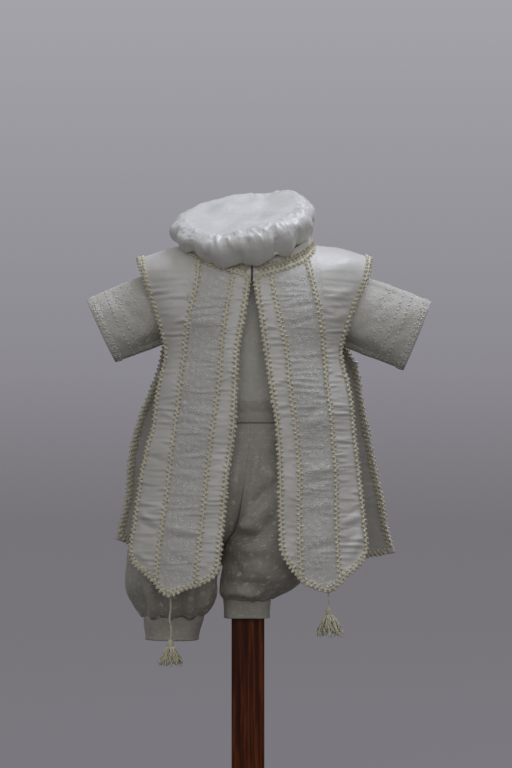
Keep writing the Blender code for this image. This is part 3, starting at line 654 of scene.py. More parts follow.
def woven(tree, uv, along, thread):
    """Height of a weave: two crossed sets of rounded threads, thread mm apart, the second
    along times as far apart."""
    return maths(tree, "MULTIPLY", stripes(tree, uv, thread), stripes(tree, uv, thread * along, "Y"))


def ivory_satin(name="ivory_duchess_satin", crush=1.0, pleats=0.0, low="#E0DDD3", high="#EFECE4"):
    """Duchess satin: long floats of silk lie side by side, so the cloth is smooth and shines
    softly along its creases, and where it was crushed in the hand it keeps fine crinkles. Its
    threads are 0.15 mm apart and drawn at 0.5 mm, to show. pleats is the strength of the fine
    folds that a gathered edge leaves: they run down the cloth and fade 14 to 34 mm down it."""
    made, tree, shader = finish(name, Roughness=0.4, IOR=1.5, Sheen_Weight=0.12, Sheen_Roughness=0.35)
    uv, place = mapped(tree)
    ramp(tree, shader["Base Color"], noise(tree, place, 34, 3), (0.3, low), (0.7, high))
    slub = noise(tree, add(tree, "Mapping", {"Vector": uv, "Scale": (0.16, 2, 1)}), 3.2, 3)
    gloss = remap(tree, slub, 0.36 - 0.1 * crush, 0.54 - 0.12 * crush)
    tree.links.new(gloss, shader["Roughness"])
    drawn = add(tree, "Mapping", {"Vector": uv, "Scale": (1, 0.22, 1)})
    down = add(tree, "SeparateXYZ", {"Vector": uv}, "Y")
    fading = remap(tree, down, 1, 0.15, 14 * MM, 34 * MM)
    bumped(
        tree,
        shader,
        (noise(tree, place, 5, 3), 0.7 * crush, 0.4),
        (noise(tree, drawn, 5, 1.5, Distortion=0.4), 1.8 * pleats, fading),
        (slub, 0.15, 0.4),
        (woven(tree, uv, 3, 0.5), 0.06, 0.5),
    )
    return made


def ivory_brocade(name, deep, light, figure):
    """Jacquard brocade: a matt ground with small glossy figures woven into it, a shade lighter
    and figure mm apart. The ground's threads are 0.2 mm apart and drawn at 0.6 mm, to show."""
    made, tree, shader = finish(name, Roughness=0.62, IOR=1.5, Sheen_Weight=0.2, Sheen_Roughness=0.5)
    uv, place = mapped(tree)
    sway = noise(tree, uv, 6, 2, "Color")
    sway = add(tree, "VectorMath", {0: sway, "Scale": 2.4 * MM}, operation="SCALE")
    bent = add(tree, "VectorMath", {0: uv, 1: sway}, operation="ADD")
    cell = {"Vector": bent, "Scale": 1 / (figure * MM), "Randomness": 0.6}
    rings = add(tree, "TexVoronoi", cell, "Distance")
    net = add(tree, "TexVoronoi", cell | {"Scale": 2.6 / (figure * MM)}, feature="DISTANCE_TO_EDGE")
    petal = remap(tree, rings, 1, 0, 0.3, 0.48)
    vein = remap(tree, net, 1, 0.25, 0.03, 0.14)
    drawn = maths(tree, "MULTIPLY", petal, vein)
    drawn = maths(tree, "MAXIMUM", drawn, maths(tree, "MULTIPLY", vein, 0.3))
    ramp(tree, shader["Base Color"], drawn, (0.0, deep), (0.9, light))
    tree.links.new(remap(tree, drawn, 0.7, 0.42), shader["Roughness"])
    handled, weave = noise(tree, place, 12, 4), woven(tree, uv, 1, 0.6)
    bumped(tree, shader, (handled, 2.2, 0.5), (drawn, 0.45, 0.7), (weave, 0.12, 0.5))
    return made


def wrapped_thread(name, low, high, rough, pitch):
    """Gimp or floss: fine shiny filament laid round a core, so light runs along it in short
    slanting glints; its colour is painted lighter on each turn, as painted glints, and darker
    between the turns, as painted shade. The turns are pitch mm apart, coarser than real, to show."""
    made, tree, shader = finish(name, Roughness=rough, IOR=1.5, Sheen_Weight=0.2, Sheen_Roughness=0.4)
    uv, place = mapped(tree)
    turns = stripes(tree, add(tree, "Mapping", {"Vector": uv, "Rotation": (0, 0, math.radians(35))}), pitch)
    # Uneven wear along the thread, in patches.
    worn_and_shaded = remap(tree, noise(tree, place, 5, 3), 0.2, 1.3)
    # Colour: painted glints on the turns and painted shade between them, times the uneven wear.
    both = maths(tree, "MULTIPLY", remap(tree, turns, 0.55, 1), worn_and_shaded)
    ramp(tree, shader["Base Color"], both, (0.15, low), (0.7, high))
    bumped(tree, shader, (turns, 0.15, 0.6))
    return made


GRAIN_TONES = ((0.34, "#311103"), (0.48, "#4E1F07"), (0.58, "#7E3D16"), (0.66, "#582509"), (0.78, "#280D02"))


def stained_pine(name, stretch):
    """Pine, planed and stained dark red-brown: flat-sawn grain runs along the board, which is
    the axis with the small stretch, in uneven bands 3 to 6 mm wide, and a thin satin varnish
    leaves soft gloss."""
    made, tree, shader = finish(name, Roughness=0.45, IOR=1.5, Coat_Weight=0.05, Coat_Roughness=0.3)
    shader["Specular IOR Level"].default_value = 0.12
    place = add(tree, "TexCoord", out="Object")
    drawn = add(tree, "Mapping", {"Vector": place, "Scale": stretch})
    fine = noise(tree, drawn, 1.1, 2)
    both = maths(tree, "ADD", noise(tree, drawn, 6.5, 3, Roughness=0.6), remap(tree, fine, -0.1, 0.1))
    ramp(tree, shader["Base Color"], both, *GRAIN_TONES)
    tree.links.new(remap(tree, fine, 0.4, 0.55), shader["Roughness"])
    bumped(tree, shader, (both, 0.15, 0.35))
    return made


def linen_cover():
    """Unbleached linen drawn tight over the torso: a plain weave of uneven threads, 0.5 mm
    apart and drawn at 1 mm, with thicker slubs here and there."""
    made, tree, shader = finish("linen_plain_weave", Roughness=0.85, IOR=1.5, Sheen_Weight=0.2)
    place = add(tree, "TexCoord", out="Object")
    stretches = ((0.11, 0.11, 1), (1, 1, 0.11))
    sets = [noise(tree, add(tree, "Mapping", {"Vector": place, "Scale": k}), 1, 1) for k in stretches]
    both = maths(tree, "ADD", *sets)
    ramp(tree, shader["Base Color"], remap(tree, both, 0, 1, 0, 1.3), (0.7, "#8F8473"), (1.0, "#C9BFAC"))
    bumped(tree, shader, (both, 0.3, 0.6))
    return made


def pearl_glass():
    """A glass pearl: a pale lacquer over glass, smooth, with a soft clear shine."""
    made, tree, shader = finish(
        "lacquered_glass_pearl", Roughness=0.18, IOR=1.55, Coat_Weight=0.6, Coat_Roughness=0.08
    )
    cloud = noise(tree, add(tree, "TexCoord", out="Object"), 2, 2)
    ramp(tree, shader["Base Color"], cloud, (0.3, "#EFECE3"), (0.7, "#FBF9F4"))
    return made


# Colours of the backdrop's painted glow, from the floor up.
WALL_GLOW_TONES = ((0.0, "#5F5D60"), (0.06, "#6D6B6F"), (0.25, "#858389"), (0.6, "#97959C"), (1.0, "#A8A6AD"))


def backdrop_paint_and_glow():
    """Matt lilac-grey paint on the studio's floor and wall, with a painted glow that stands in for
    wall washers' light: deeper at the floor and paler from head height up."""
    made, tree, shader = finish("backdrop_matt_paint_painted_glow", Roughness=0.95, IOR=1.4)
    shader["Emission Strength"].default_value = 1.0
    shader["Base Color"].default_value = colour("#4A494D")
    height = add(tree, "SeparateXYZ", {"Vector": add(tree, "TexCoord", out="Object")}, "Z")
    ramp(tree, shader["Emission Color"], remap(tree, height, 0, 1, -0.1, 2.4), *WALL_GLOW_TONES)
    return made


# ---------------------------------------------------------------- camera and light
CAMERA_PLACE = (0.0088, -3.0, 0.480)
CAMERA_LENS = 127.84


def set_camera():
    """A level camera straight in front."""
    data = bpy.data.cameras.new("camera")
    data.lens = CAMERA_LENS
    data.sensor_width = 36.0
    camera = bpy.data.objects.new("camera", data)
    camera.location = CAMERA_PLACE
    camera.rotation_euler = (math.pi / 2, 0, 0)
    bpy.context.scene.collection.objects.link(camera)
    bpy.context.scene.camera = camera


def area_light(name, place, towards, size, power, code):
    """A soft square lamp that shines from place towards a point."""
    data = bpy.data.lights.new(name, "AREA")
    data.size = size
    data.energy = power
    data.color = colour(code)[:3]
    lamp = bpy.data.objects.new(name, data)
    lamp.location = place
    away = np.array(place) - np.array(towards)
    flat = math.hypot(away[0], away[1])
    lamp.rotation_euler = (math.atan2(flat, away[2]), 0, math.atan2(away[0], -away[1]) if flat else 0)
    bpy.context.scene.collection.objects.link(lamp)


SKY_TONES = ((0.0, "#4B4946"), (0.35, "#737170"), (1.0, "#F2F3F8"))
SKY_STRENGTH = 0.36


def set_light():
    """Light as in a pale room: soft from all of the upper half and weak from below, one cool
    lamp overhead on the right, and a wide lamp in front, over the camera. The backdrop's own
    glow is only seen, and lights nothing."""
    area_light("ceiling_lamp", (0.6, 0.1, 2.3), (0, 0, 0.5), 0.9, 16.5, "#E2E8FC")
    area_light("front_lamp", (0.1, -3.0, 1.2), (0, 0, 0.45), 3.0, 18, "#F8F9FF")
    world = bpy.data.worlds.new("studio_air")
    world.use_nodes = True
    tree, back = world.node_tree, world.node_tree.nodes["Background"].inputs
    up = add(tree, "SeparateXYZ", {"Vector": add(tree, "TexCoord", out="Object")}, "Z")
    ramp(tree, back["Color"], remap(tree, up, 0, 1, -0.3, 0.5), *SKY_TONES)
    back["Strength"].default_value = SKY_STRENGTH
    bpy.context.scene.world = world
    bpy.context.scene.view_settings.view_transform = "Standard"


STAGE_RADIUS = 8.0
STAGE_COVE = 2.2
STAGE_TOP = 6.0
STAGE_SIDES = 96
STAGE_FLOOR_RINGS = 12


def build_stage():
    """The floor and the wall in one: a disc that turns up all round into a standing wall
    through a wide cove, as one profile swept round the stand's axis."""
    turn = np.linspace(0, math.pi / 2, 24)
    flat = STAGE_RADIUS - STAGE_COVE
    floor = np.linspace(0.001, flat, STAGE_FLOOR_RINGS)[:-1]
    radius = np.concatenate([floor, flat + STAGE_COVE * np.sin(turn), [STAGE_RADIUS]])
    height = np.concatenate([0 * floor, STAGE_COVE * (1 - np.cos(turn)), [STAGE_TOP]])
    points = swept(radius, circle(STAGE_SIDES), height)
    r, c = quads(len(radius), STAGE_SIDES, True)
    n = (c + 1) % STAGE_SIDES
    corners = ((r, c), (r + 1, c), (r + 1, n), (r, n))
    faces = np.stack([a * STAGE_SIDES + b for a, b in corners], -1).reshape(-1, 4)
    mesh = bpy.data.meshes.new("studio_backdrop")
    mesh.from_pydata(points.reshape(-1, 3), [], faces.tolist())
    mesh.shade_smooth()
    mesh.materials.append(backdrop_paint_and_glow())
    stage = bpy.data.objects.new("studio_backdrop", mesh)
    stage.visible_diffuse = False
    stage.visible_shadow = False
    bpy.context.scene.collection.objects.link(stage)


# ---------------------------------------------------------------- the stand
def lathed(name, rings, finish_of, node):
    """A closed solid through rings of points (rings, sides, xyz), listed upwards, with its two
    ends closed by a fan to the middle."""
    count, sides = rings.shape[:2]
    ends = rings[[0, -1]].mean(1)
    points = np.concatenate([rings.reshape(-1, 3), ends])
    r, c = quads(count, sides, True)
    n = (c + 1) % sides
    wall = np.stack([r * sides + c, r * sides + n, (r + 1) * sides + n, (r + 1) * sides + c], -1)
    c = np.arange(sides)
    n = (c + 1) % sides
    last, centre = (count - 1) * sides, 0 * c + count * sides
    low, high = np.stack([n, c, centre], -1), np.stack([last + c, last + n, centre + 1], -1)
    faces = wall.reshape(-1, 4).tolist() + low.tolist() + high.tolist()
    made = piece(name, points, faces, finish_of, nodes=[node])
    made.data.set_sharp_from_angle(angle=math.radians(40))
    return made


EDGE_BREAK = 0.8  # how far the base's and the post's sharp edges are broken


def build_stand(base_wood, post_wood, linen):
    """The turned base, the planed post with rounded corners, and the torso on it."""
    turn = np.linspace(0, math.pi / 2, 10)
    height = np.concatenate([[0.0, EDGE_BREAK], BASE_HEIGHT + BASE_ROUNDING * (np.sin(turn) - 1)])
    radius = np.concatenate([[-EDGE_BREAK, 0.0], BASE_ROUNDING * (np.cos(turn) - 1)]) + BASE_RADIUS
    rings = swept(radius, circle(144), height)
    lathed("base_turned", rings, base_wood, "stand_base")
    quarter = np.linspace(0, math.pi / 2, 6)
    arc = np.concatenate([quarter + k * math.pi / 2 for k in range(4)])
    side = np.repeat([[1, 1], [-1, 1], [-1, -1], [1, -1]], 6, 0) * (POST_SIDE / 2 - POST_ROUNDING)
    low, high = BASE_HEIGHT + SEAM_GAP, FORM_BOTTOM - SEAM_GAP
    height = np.array([low, low + EDGE_BREAK, high - EDGE_BREAK, high])[:, None]
    round_in = POST_ROUNDING - EDGE_BREAK * np.array([1.0, 0, 0, 1.0])[:, None]
    rings = xyz(side[:, 0] + round_in * np.cos(arc), side[:, 1] + round_in * np.sin(arc), height)
    lathed("post_planed", rings, post_wood, "stand_post")
    height = np.concatenate([[372, 372.6, 374], np.linspace(376, 648, 50), [650.5, 652]])
    angle = circle(96)
    width, depth = column(FORM, "half_width", height), column(FORM, "half_depth", height)
    rings = xyz(np.outer(width, np.cos(angle)), np.outer(depth, np.sin(angle)), height[:, None])
    lathed("dress_form_covered", rings, linen, "dress_form")


# ---------------------------------------------------------------- the cape
def ridge(x):
    """The height of the shoulders' ridge at x."""
    return np.interp(np.abs(x - CAPE_CENTRE), RIDGE["from_centre"], RIDGE["height"])


def stand_off(x, z, which, side):
    """How far in front of or behind the shoulders the cape hangs: part of a rounded ellipse
    whose span follows the panel's side edge."""
    out = np.clip(np.abs(x) / (np.abs(side) / SPAN_SHARE[which]), 0, 0.999)
    return column(STAND_OFF, which, z) * (1 - out**ROUNDNESS) ** (1 / ROUNDNESS)


def rolled(top, top_x, hem, roll_rows, hang_rows):
    """Down each column of a panel: the heights, and how much of its stand-off the cloth has
    there. The cloth rolls over the shoulder as a quarter of an ellipse, then hangs straight."""
    rise = ridge(top_x) - ROLL_START
    steepest = np.arcsin(np.clip((top - ROLL_START) / rise, 0, 1))
    angle = steepest * np.linspace(1, 0, roll_rows + 1)[:, None]
    hang = ROLL_START + (hem - ROLL_START) * np.linspace(0, 1, hang_rows + 1)[1:, None]
    lean = np.concatenate([np.cos(angle), np.ones_like(hang)])
    return np.concatenate([ROLL_START + rise * np.sin(angle), hang]), lean


def front_line(sizes, across, z):
    """x on a front, between its four lines of braid, at a height."""
    lines = [column(sizes, n, z) for n in ("front_edge", "inner_braid", "outer_braid", "side_edge")]
    x = lines[0]
    for i in range(3):
        x = x + (lines[i + 1] - lines[i]) * np.clip(across - i, 0, 1)
    return x


FRONT_ACROSS = np.concatenate(
    [np.linspace(0, 1, 13)[:-1], np.linspace(1, 2, 23)[:-1], np.linspace(2, 3, 24)]
)
FRONT_ROWS = (66, 190)  # round the shoulder's roll, and from there down to the hem
BACK_ACROSS = np.linspace(-1, 1, 101)
BACK_ROWS = (44, 108)
SETTLE_ROWS = 12  # over which a panel's columns move from the ridge's x to its hang's


def settled(x, top_x):
    """x over a panel, brought to top_x at its top row and left alone from SETTLE_ROWS down."""
    return x + (top_x - x[0]) * ease(1 - np.arange(len(x)) / SETTLE_ROWS)[:, None]


def front_sheet(name):
    """One front: from the neckline and the shoulder over the roll and down to its pointed hem."""
    sizes, across = FRONTS[name], FRONT_ACROSS
    hem = column(FRONT_HEM[name], "height", across, "across")
    top = column(FRONT_TOP, "height", across, "across")
    top_x = front_line(sizes, across, top)
    outer = front_line(sizes, 3, RIDGE["height"][-1])
    shoulder = NECK_POINT[name] + (outer - NECK_POINT[name]) * np.clip(
        (across - NECK_ACROSS) / (3 - NECK_ACROSS), 0, 1
    )
    beyond = np.clip((across - 2) / (NECK_ACROSS - 2), 0, 1)
    top_x = top_x + (shoulder - top_x) * beyond
    top = top + (ridge(top_x) - top) * beyond
    z, lean = rolled(top, top_x, hem, *FRONT_ROWS)
    x = front_line(sizes, across, z)
    x = settled(x, top_x)
    y = -stand_off(x, z, "front", column(sizes, "side_edge", z)) * lean - SEAM_GAP
    return Cloth(xyz(x, y, z), CAPE_MIDDLE)


def back_sheet():
    """The back from one side edge to the other, with upright folds that deepen downwards."""
    across = BACK_ACROSS
    hem = column(BACK_HEM, "height", across, "across")
    neck_x = np.where(across < 0, NECK_POINT["left"], NECK_POINT["right"])
    end = RIDGE["height"][-1]
    outer = np.where(across < 0, column(BACK_SIDES, "left", end), column(BACK_SIDES, "right", end))
    inside = np.clip(np.abs(across) / BACK_NECK, 0, 1)
    beyond = np.clip((np.abs(across) - BACK_NECK) / (1 - BACK_NECK), 0, 1)
    top_x = neck_x * inside + (outer - neck_x) * beyond
    top = np.where(inside < 1, NECK_BACK + (ridge(neck_x) - NECK_BACK) * inside**2, ridge(top_x))
    z, lean = rolled(top, top_x, hem, *BACK_ROWS)
    edge = np.where(across < 0, column(BACK_SIDES, "left", z), column(BACK_SIDES, "right", z))
    x = np.abs(across) * edge
    x = settled(x, top_x)
    y = stand_off(x, z, "back", edge) * lean + SEAM_GAP
    depth = BACK_FOLD_DEPTH * np.clip((ROLL_START - z) / BACK_FOLD_FADE, 0, 1)
    y = y + depth * np.cos(BACK_FOLDS * math.pi * across) * (1 - across**2)
    return Cloth(xyz(x, y, z), CAPE_MIDDLE)


# Main creases of the fronts: x0 z0 x1 z1 width height.
FRONT_CREASES = {
    "left": (
        (-90, 326, -52, 321, 4.5, 1.7),
        (-88, 316, -54, 313, 3.5, -1.3),
        (-116, 341, -97, 331, 3.2, 1.5),
        (-117, 331, -98, 322, 3.0, -1.2),
        (-73, 455, -36, 449, 4.5, 1.1),
        (-74, 404, -42, 410, 4.0, -1.2),
        (-80, 385, -50, 381, 5.0, 1.2),
        (-70, 506, -34, 500, 4.0, -0.9),
        (-64, 545, -30, 548, 5.0, 1.1),
        (-92, 452, -78, 443, 3.5, 1.1),
        (-108, 402, -88, 396, 3.5, -1.0),
        (-85, 296, -58, 285, 4.5, -1.3),
        (-118, 300, -96, 274, 5.0, 1.2),
        (-30, 600, -8, 594, 6.0, 1.4),
        (-64, 590, -40, 598, 7.0, 1.6),
        (-110, 596, -78, 612, 9.0, 1.8),
    ),
    "right": (
        (62, 447, 80, 456, 3.0, -1.4),
        (59, 436, 85, 444, 5.0, 1.5),
        (99, 325, 121, 328, 2.8, -1.4),
        (103, 336, 121, 346, 3.2, -1.1),
        (99, 331, 122, 337, 4.0, 1.3),
        (44, 561, 74, 567, 2.6, -1.2),
        (42, 543, 76, 552, 3.0, -1.1),
        (60, 385, 92, 391, 4.5, 1.4),
        (60, 372, 90, 379, 3.5, -1.2),
        (62, 346, 92, 352, 4.0, 1.1),
        (88, 575, 112, 581, 3.5, 1.6),
        (92, 553, 108, 556, 3.0, 1.4),
        (60, 300, 96, 309, 5.0, -1.2),
        (108, 292, 122, 320, 5.0, 1.6),
        (100, 300, 112, 316, 4.0, -1.0),
        (80, 600, 118, 612, 9.0, 1.8),
        (30, 592, 62, 600, 6.0, 1.2),
    ),
}
# The back's own, of the same kind: long soft folds down it and shorter ones by the hem.
BACK_CREASES = (
    (-60, 600, -96, 480, 9.0, 1.8),
    (70, 596, 102, 470, 9.0, 1.6),
    (-20, 560, -34, 400, 12.0, 1.6),
    (34, 540, 26, 380, 12.0, -1.6),
    (0, 470, 8, 300, 10.0, 2.0),
    (-70, 420, -80, 300, 9.0, -1.8),
    (84, 410, 104, 300, 9.0, 1.8),
    (-128, 400, -100, 340, 6.0, 1.4),
    (138, 380, 110, 330, 6.0, -1.4),
    (-50, 620, 54, 618, 8.0, -1.0),
)


BACK_PUCKERED = 0.2  # the share of the back's half width, from each side, that is puckered
EDGE_GIMP = 1.15  # the edges' braid beside the narrow one's
STRIP_ROW = 100  # the row where the strips' columns and widths are taken
STRIP_PUFF = 1.5
STRIP_SPACING = (4.8, 6.5, 4.6)
STRIP_PUCKERS = (1.35, 0.95, 1.4)
STRIP_HOLDS = (0.5, 0.5, 0.8)
SMOOTH_ABOVE = 608.0  # the side strip has no puckers above this height


def strips_relief(draw, cloth, shares):
    """Level puckers in each strip between two lines of braid, and a slight puff of the strip.
    The side strip's puckers start at its inner line, and the others' at either, and they are
    strongest just below the shoulder. Over the shoulder the cloth lies smooth."""
    total = np.zeros(cloth.points.shape[:2])
    z = cloth.points[..., 2]
    for share, tall, far, hold in zip(shares, STRIP_PUCKERS, STRIP_SPACING, STRIP_HOLDS):
        here = (share > 0) & (share < 1)
        columns = np.flatnonzero(here[STRIP_ROW])
        middle = columns[len(columns) // 2]
        down = np.interp(-z, -z[:, middle], cloth.v[:, middle])
        wide = float(cloth.u[STRIP_ROW, columns[-1]] - cloth.u[STRIP_ROW, columns[0]])
        ridges = puckers(draw, share, down, far, tall, wide, hold)
        if hold > 0.5:
            stronger = 0.35 * ease((SMOOTH_ABOVE - 4 - z) / 12) * ease((z - 525) / 30)
            ridges *= ease((SMOOTH_ABOVE - z) / 24) * (1 + stronger)
        puff = np.sin(math.pi * np.clip(share, 0, 1)) * STRIP_PUFF
        total += np.where(here, ridges + puff, 0)
    return total


def nearest(places, at):
    """The index of the place nearest to at."""
    return int(np.argmin(np.abs(places - at)))


def build_cape(satin, damask, gilt, worn_and_shaded, floss):
    """Both fronts with a figured middle strip, the back, their braid and the collar."""
    sheets = {}
    for name in ("left", "right"):
        draw = np.random.default_rng(SEEDS[name])
        flat = front_sheet(name)
        across = np.broadcast_to(FRONT_ACROSS, flat.points.shape[:2])
        shares = [across - i for i in range(3)]
        relief = strips_relief(draw, flat, shares)
        relief += creases(flat.points[..., 0], flat.points[..., 2], FRONT_CREASES[name])
        relief += crumple(flat.points[..., 0], flat.points[..., 2], 55, 0.7, draw)
        cloth = flat.raised(relief)
        sheets[name] = cloth
        middle = np.flatnonzero((FRONT_ACROSS >= 1) & (FRONT_ACROSS < 2))
        node, two = "cape_front_" + name, {"second": damask, "where": middle}
        front = sew("front_satin_" + name, cloth, CLOTH, satin, "satin", node, **two)
        round_it = [edge_line(cloth, nearest(FRONT_ACROSS, NECK_ACROSS))]
        trims = [gimp("gimp_edge_" + name, round_it, gilt, "braid_edge_" + name, size=EDGE_GIMP)]
        for line, at in (("inner", 1), ("outer", 2)):
            down = down_line(cloth, nearest(FRONT_ACROSS, at))
            trims.append(gimp(f"gimp_{line}_{name}", [down], gilt, f"braid_{line}_{name}"))
        trims.append(front_embroidery(name, cloth, floss))
        declare_sheet(flat)
    flat = back_sheet()
    draw = np.random.default_rng(SEEDS["back"])
    inward = (1 - np.abs(np.broadcast_to(BACK_ACROSS, flat.points.shape[:2]))) / BACK_PUCKERED
    relief = puckers(draw, inward, flat.v[:, :1], 7.0, 1.0, 25, 1.0) * (inward < 1)
    relief += creases(flat.points[..., 0], flat.points[..., 2], BACK_CREASES)
    relief += crumple(flat.u, flat.v, 80, 0.6, draw)
    back = flat.raised(relief)
    sheets["back"] = back
    made = sew("back_satin", back, CLOTH, satin, "satin", "cape_back")
    round_it = edge_line(back, None)
    inside = (round_it[0], -round_it[1])
    trims = [
        gimp("gimp_edge_back", [round_it, inside], gilt, "braid_edge_back", size=EDGE_GIMP),
        gimp("gimp_neck_back", [neck_back_line(back)], gilt, "braid_neck_back"),
    ]
    declare_sheet(flat)
    # The collar's braid takes the darker gilt: painted shade under the beret.
    build_collar(sheets, satin, worn_and_shaded)


def declare_sheet(flat):
    """Takes the sheet's points, with the first column repeated at the end where the sheet closes
    round; nothing more is done with them."""
    points = flat.points
    if flat.closed:
        points = np.concatenate([points, points[:, :1]], 1)


# ---------------------------------------------------------------- braid
GIMP_PERIOD = 5.1
GIMP_REACH = 2.3
GIMP_CURL = 1.05
GIMP_RADIUS = 1.42
GIMP_CORE = 1.2
GIMP_UNEVEN = 0.25
GIMP_DRIFT = 2.6
GIMP_STEPS = 10  # points of a cord in each period
GIMP_SIDES = 6
GIMP_ROUNDING = 9  # millimetres over which the braid turns a corner


def places_along(lines, far):
    """The fractional index on each line of distances where it has come far, or is -far short
    of its end."""
    return [np.interp(far if far > 0 else line[-1] + far, line, np.arange(len(line))) for line in lines]


def edge_line(cloth, neck_column):
    """Down the middle of the braid round a panel: along the neckline from a column where one
    is given, down the first column, along the hem and up the last column, each just less than
    half a braid's width inside the edge, so that its scrolls show past it."""
    rows, cols = cloth.points.shape[0] - 1, cloth.points.shape[1] - 1
    inset = BRAID_WIDTH / 2 - BRAID_INSET
    first, last = places_along(cloth.u, inset), places_along(cloth.u, -inset)
    top, low = places_along(cloth.v.T, inset), places_along(cloth.v.T, -inset)
    path = []
    if neck_column is not None:
        path += [(top[c], c) for c in range(neck_column, 2, -1)]
    path += [(r, first[r]) for r in range(0 if neck_column is None else 3, rows - 3)]
    path += [(low[c], c) for c in range(3, cols - 2)]
    path += [(r, last[r]) for r in range(rows - 4, -1, -1)]
    return along_path(cloth, path)


def down_line(cloth, col):
    """Down one column, from the neckline's braid to the hem's."""
    down = cloth.v[:, col]
    steps = np.linspace(BRAID_WIDTH * 1.1, down[-1] - BRAID_WIDTH, 200)
    return along_path(cloth, [(r, col) for r in np.interp(steps, down, np.arange(len(down)))])


def neck_back_line(cloth):
    """Along the back's neckline, from shoulder to shoulder."""
    inside = np.flatnonzero(np.abs(BACK_ACROSS) < BACK_NECK)
    rows = places_along(cloth.v.T[inside], BRAID_INSET + BRAID_WIDTH / 2)
    return along_path(cloth, list(zip(rows, inside)))


def along_path(cloth, path):
    """Points 1 mm apart along a path of (row, column) places, and the normals there, with the
    corners rounded by averaging along GIMP_ROUNDING."""
    path = np.array(path, float)
    both = np.concatenate(cloth.read(path[:, 0], path[:, 1]), 1)
    for _ in range(2):
        far = travelled(both[:, :3])
        both = along_line(np.linspace(0, far[-1], int(far[-1]) + 1), far, both)
        both = averaged(both, GIMP_ROUNDING)
    return both[:, :3], unit(both[:, 3:])


def gimp(name, lines, gilt, *nodes, size=1.0):
    """Scroll gimp: a thick round cord that swings from side to side of a straight core, and
    curls back into a round eye at each edge, so that its eyes lie in two rows, half a period
    apart. At t, which runs through a turn in each period, the cord is s - curl sin 2t along
    the braid and reach cos t across it, and it is highest and thickest in its eyes. lines are
    the (points, normals) that it follows, and size is its width beside the narrow one's."""
    parts = []
    for line, normals in lines:
        far = travelled(line)
        side = unit(np.cross(np.gradient(line, axis=0), normals))
        periods = max(2, round(far[-1] / GIMP_PERIOD))
        t = 2 * math.pi * np.linspace(0, periods, periods * GIMP_STEPS + 1)
        draw = np.random.default_rng(len(name) + periods)
        knots = np.linspace(0, t[-1], 2 * periods + 1)
        draws = (draw.uniform(-GIMP_UNEVEN, GIMP_UNEVEN, len(knots)) for _ in range(3))
        uneven, slack, drift = (1 + np.interp(t, knots, drawn) for drawn in draws)
        eye = np.cos(t) ** 2
        even = t / t[-1] * far[-1]
        s = even - GIMP_CURL * size * uneven * np.sin(2 * t) + GIMP_DRIFT * (drift - 1)
        reach = GIMP_REACH * size * slack * np.cos(t)
        lift = CLOTH / 2 + GIMP_RADIUS * (0.35 + 0.6 * eye)
        at, out, across = (along_line(s, far, of) for of in (line, normals, side))
        centre = at + out * lift[:, None] + across * reach[:, None]
        radius = GIMP_RADIUS * size * (0.4 + 0.6 * uneven) * (0.72 + 0.38 * eye)
        flat = np.interp(even, far, np.arange(len(far))).astype(int)
        parts.append(tubes(centre[None], radius[None], normals[flat][None], GIMP_SIDES))
        core = (line + normals * (CLOTH / 2 + GIMP_CORE * 0.5))[None, ::3]
        thick = np.full(core.shape[:2], GIMP_CORE * size)
        parts.append(tubes(core, thick, normals[None, ::3], GIMP_SIDES))
    return threads(name, parts, gilt, "braid", *nodes)


# ---------------------------------------------------------------- embroidery
def petal_fan(count, start, long, wide, turn=0.0):
    """Petals round a middle: each is x0 y0 x1 y1 width."""
    angle = math.radians(turn) + 2 * math.pi * np.arange(count) / count
    c, s = np.cos(angle), np.sin(angle)
    return [(start * a, start * b, (start + long) * a, (start + long) * b, wide) for a, b in zip(c, s)]


FLOWER = petal_fan(5, 0.9, 2.3, 2.5, 90) + [(-0.9, 0, 0.9, 0, 1.7)]
DOT = [(-0.95, 0, 0.95, 0, 1.9)]
SPRIG = petal_fan(5, 0.4, 1.9, 1.5, 18) + [
    (0, -2.6, 0.6, -5.4, 0.7),
    (0.6, -5.4, 2.2, -8.0, 0.7),
    (0.5, -4.6, 3.2, -3.6, 1.5),
    (1.0, -6.2, -1.8, -6.4, 1.5),
]
LEAF_PAIR = [(0.3, 0.2, 3.0, 1.6, 1.5), (-0.3, 0.2, -3.0, 1.6, 1.5), (-0.6, -0.6, 0.6, -0.6, 1.1)]


PAD_SINK = 0.12  # how far a pad's two ends dip below the cloth's face


def embroider(name, cloth, layout, floss, plump=0.32):
    """Raised satin stitch: every petal or leaf is a low pad that tapers to both ends, plump
    times as thick as it is wide. layout is rows of (motif, u, v, turn in degrees, size): where
    on the cloth its middle is."""
    rows, cols, petals = [], [], []
    for motif, u, v, turn, size in layout:
        row, col = cloth.place(u, v)
        c, s = math.cos(math.radians(turn)) * size, math.sin(math.radians(turn)) * size
        for x0, y0, x1, y1, wide in motif:
            petals.append((x0 * c - y0 * s, x0 * s + y0 * c, x1 * c - y1 * s, x1 * s + y1 * c, wide * size))
            rows.append(row)
            cols.append(col)
    petals, rows, cols = np.array(petals), np.array(rows), np.array(cols)
    down, over = cloth.steps(rows, cols)
    share, swell = np.array([0, 0.25, 0.75, 1]), np.array([0, 0.95, 0.95, 0])
    x = petals[:, :1] + (petals[:, 2:3] - petals[:, :1]) * share
    y = petals[:, 1:2] + (petals[:, 3:4] - petals[:, 1:2]) * share
    at, out = cloth.read(rows[:, None] - y / down[:, None], cols[:, None] + x / over[:, None])
    lift = CLOTH / 2 + PAD_SINK * (swell - 1)
    pads = tubes(at + out * lift[None, :, None], petals[:, 4:5] / 2 * swell, out, 5, plump)
    return threads(name, [pads], floss, "brocade")


FIGURE_REPEAT = 20.0


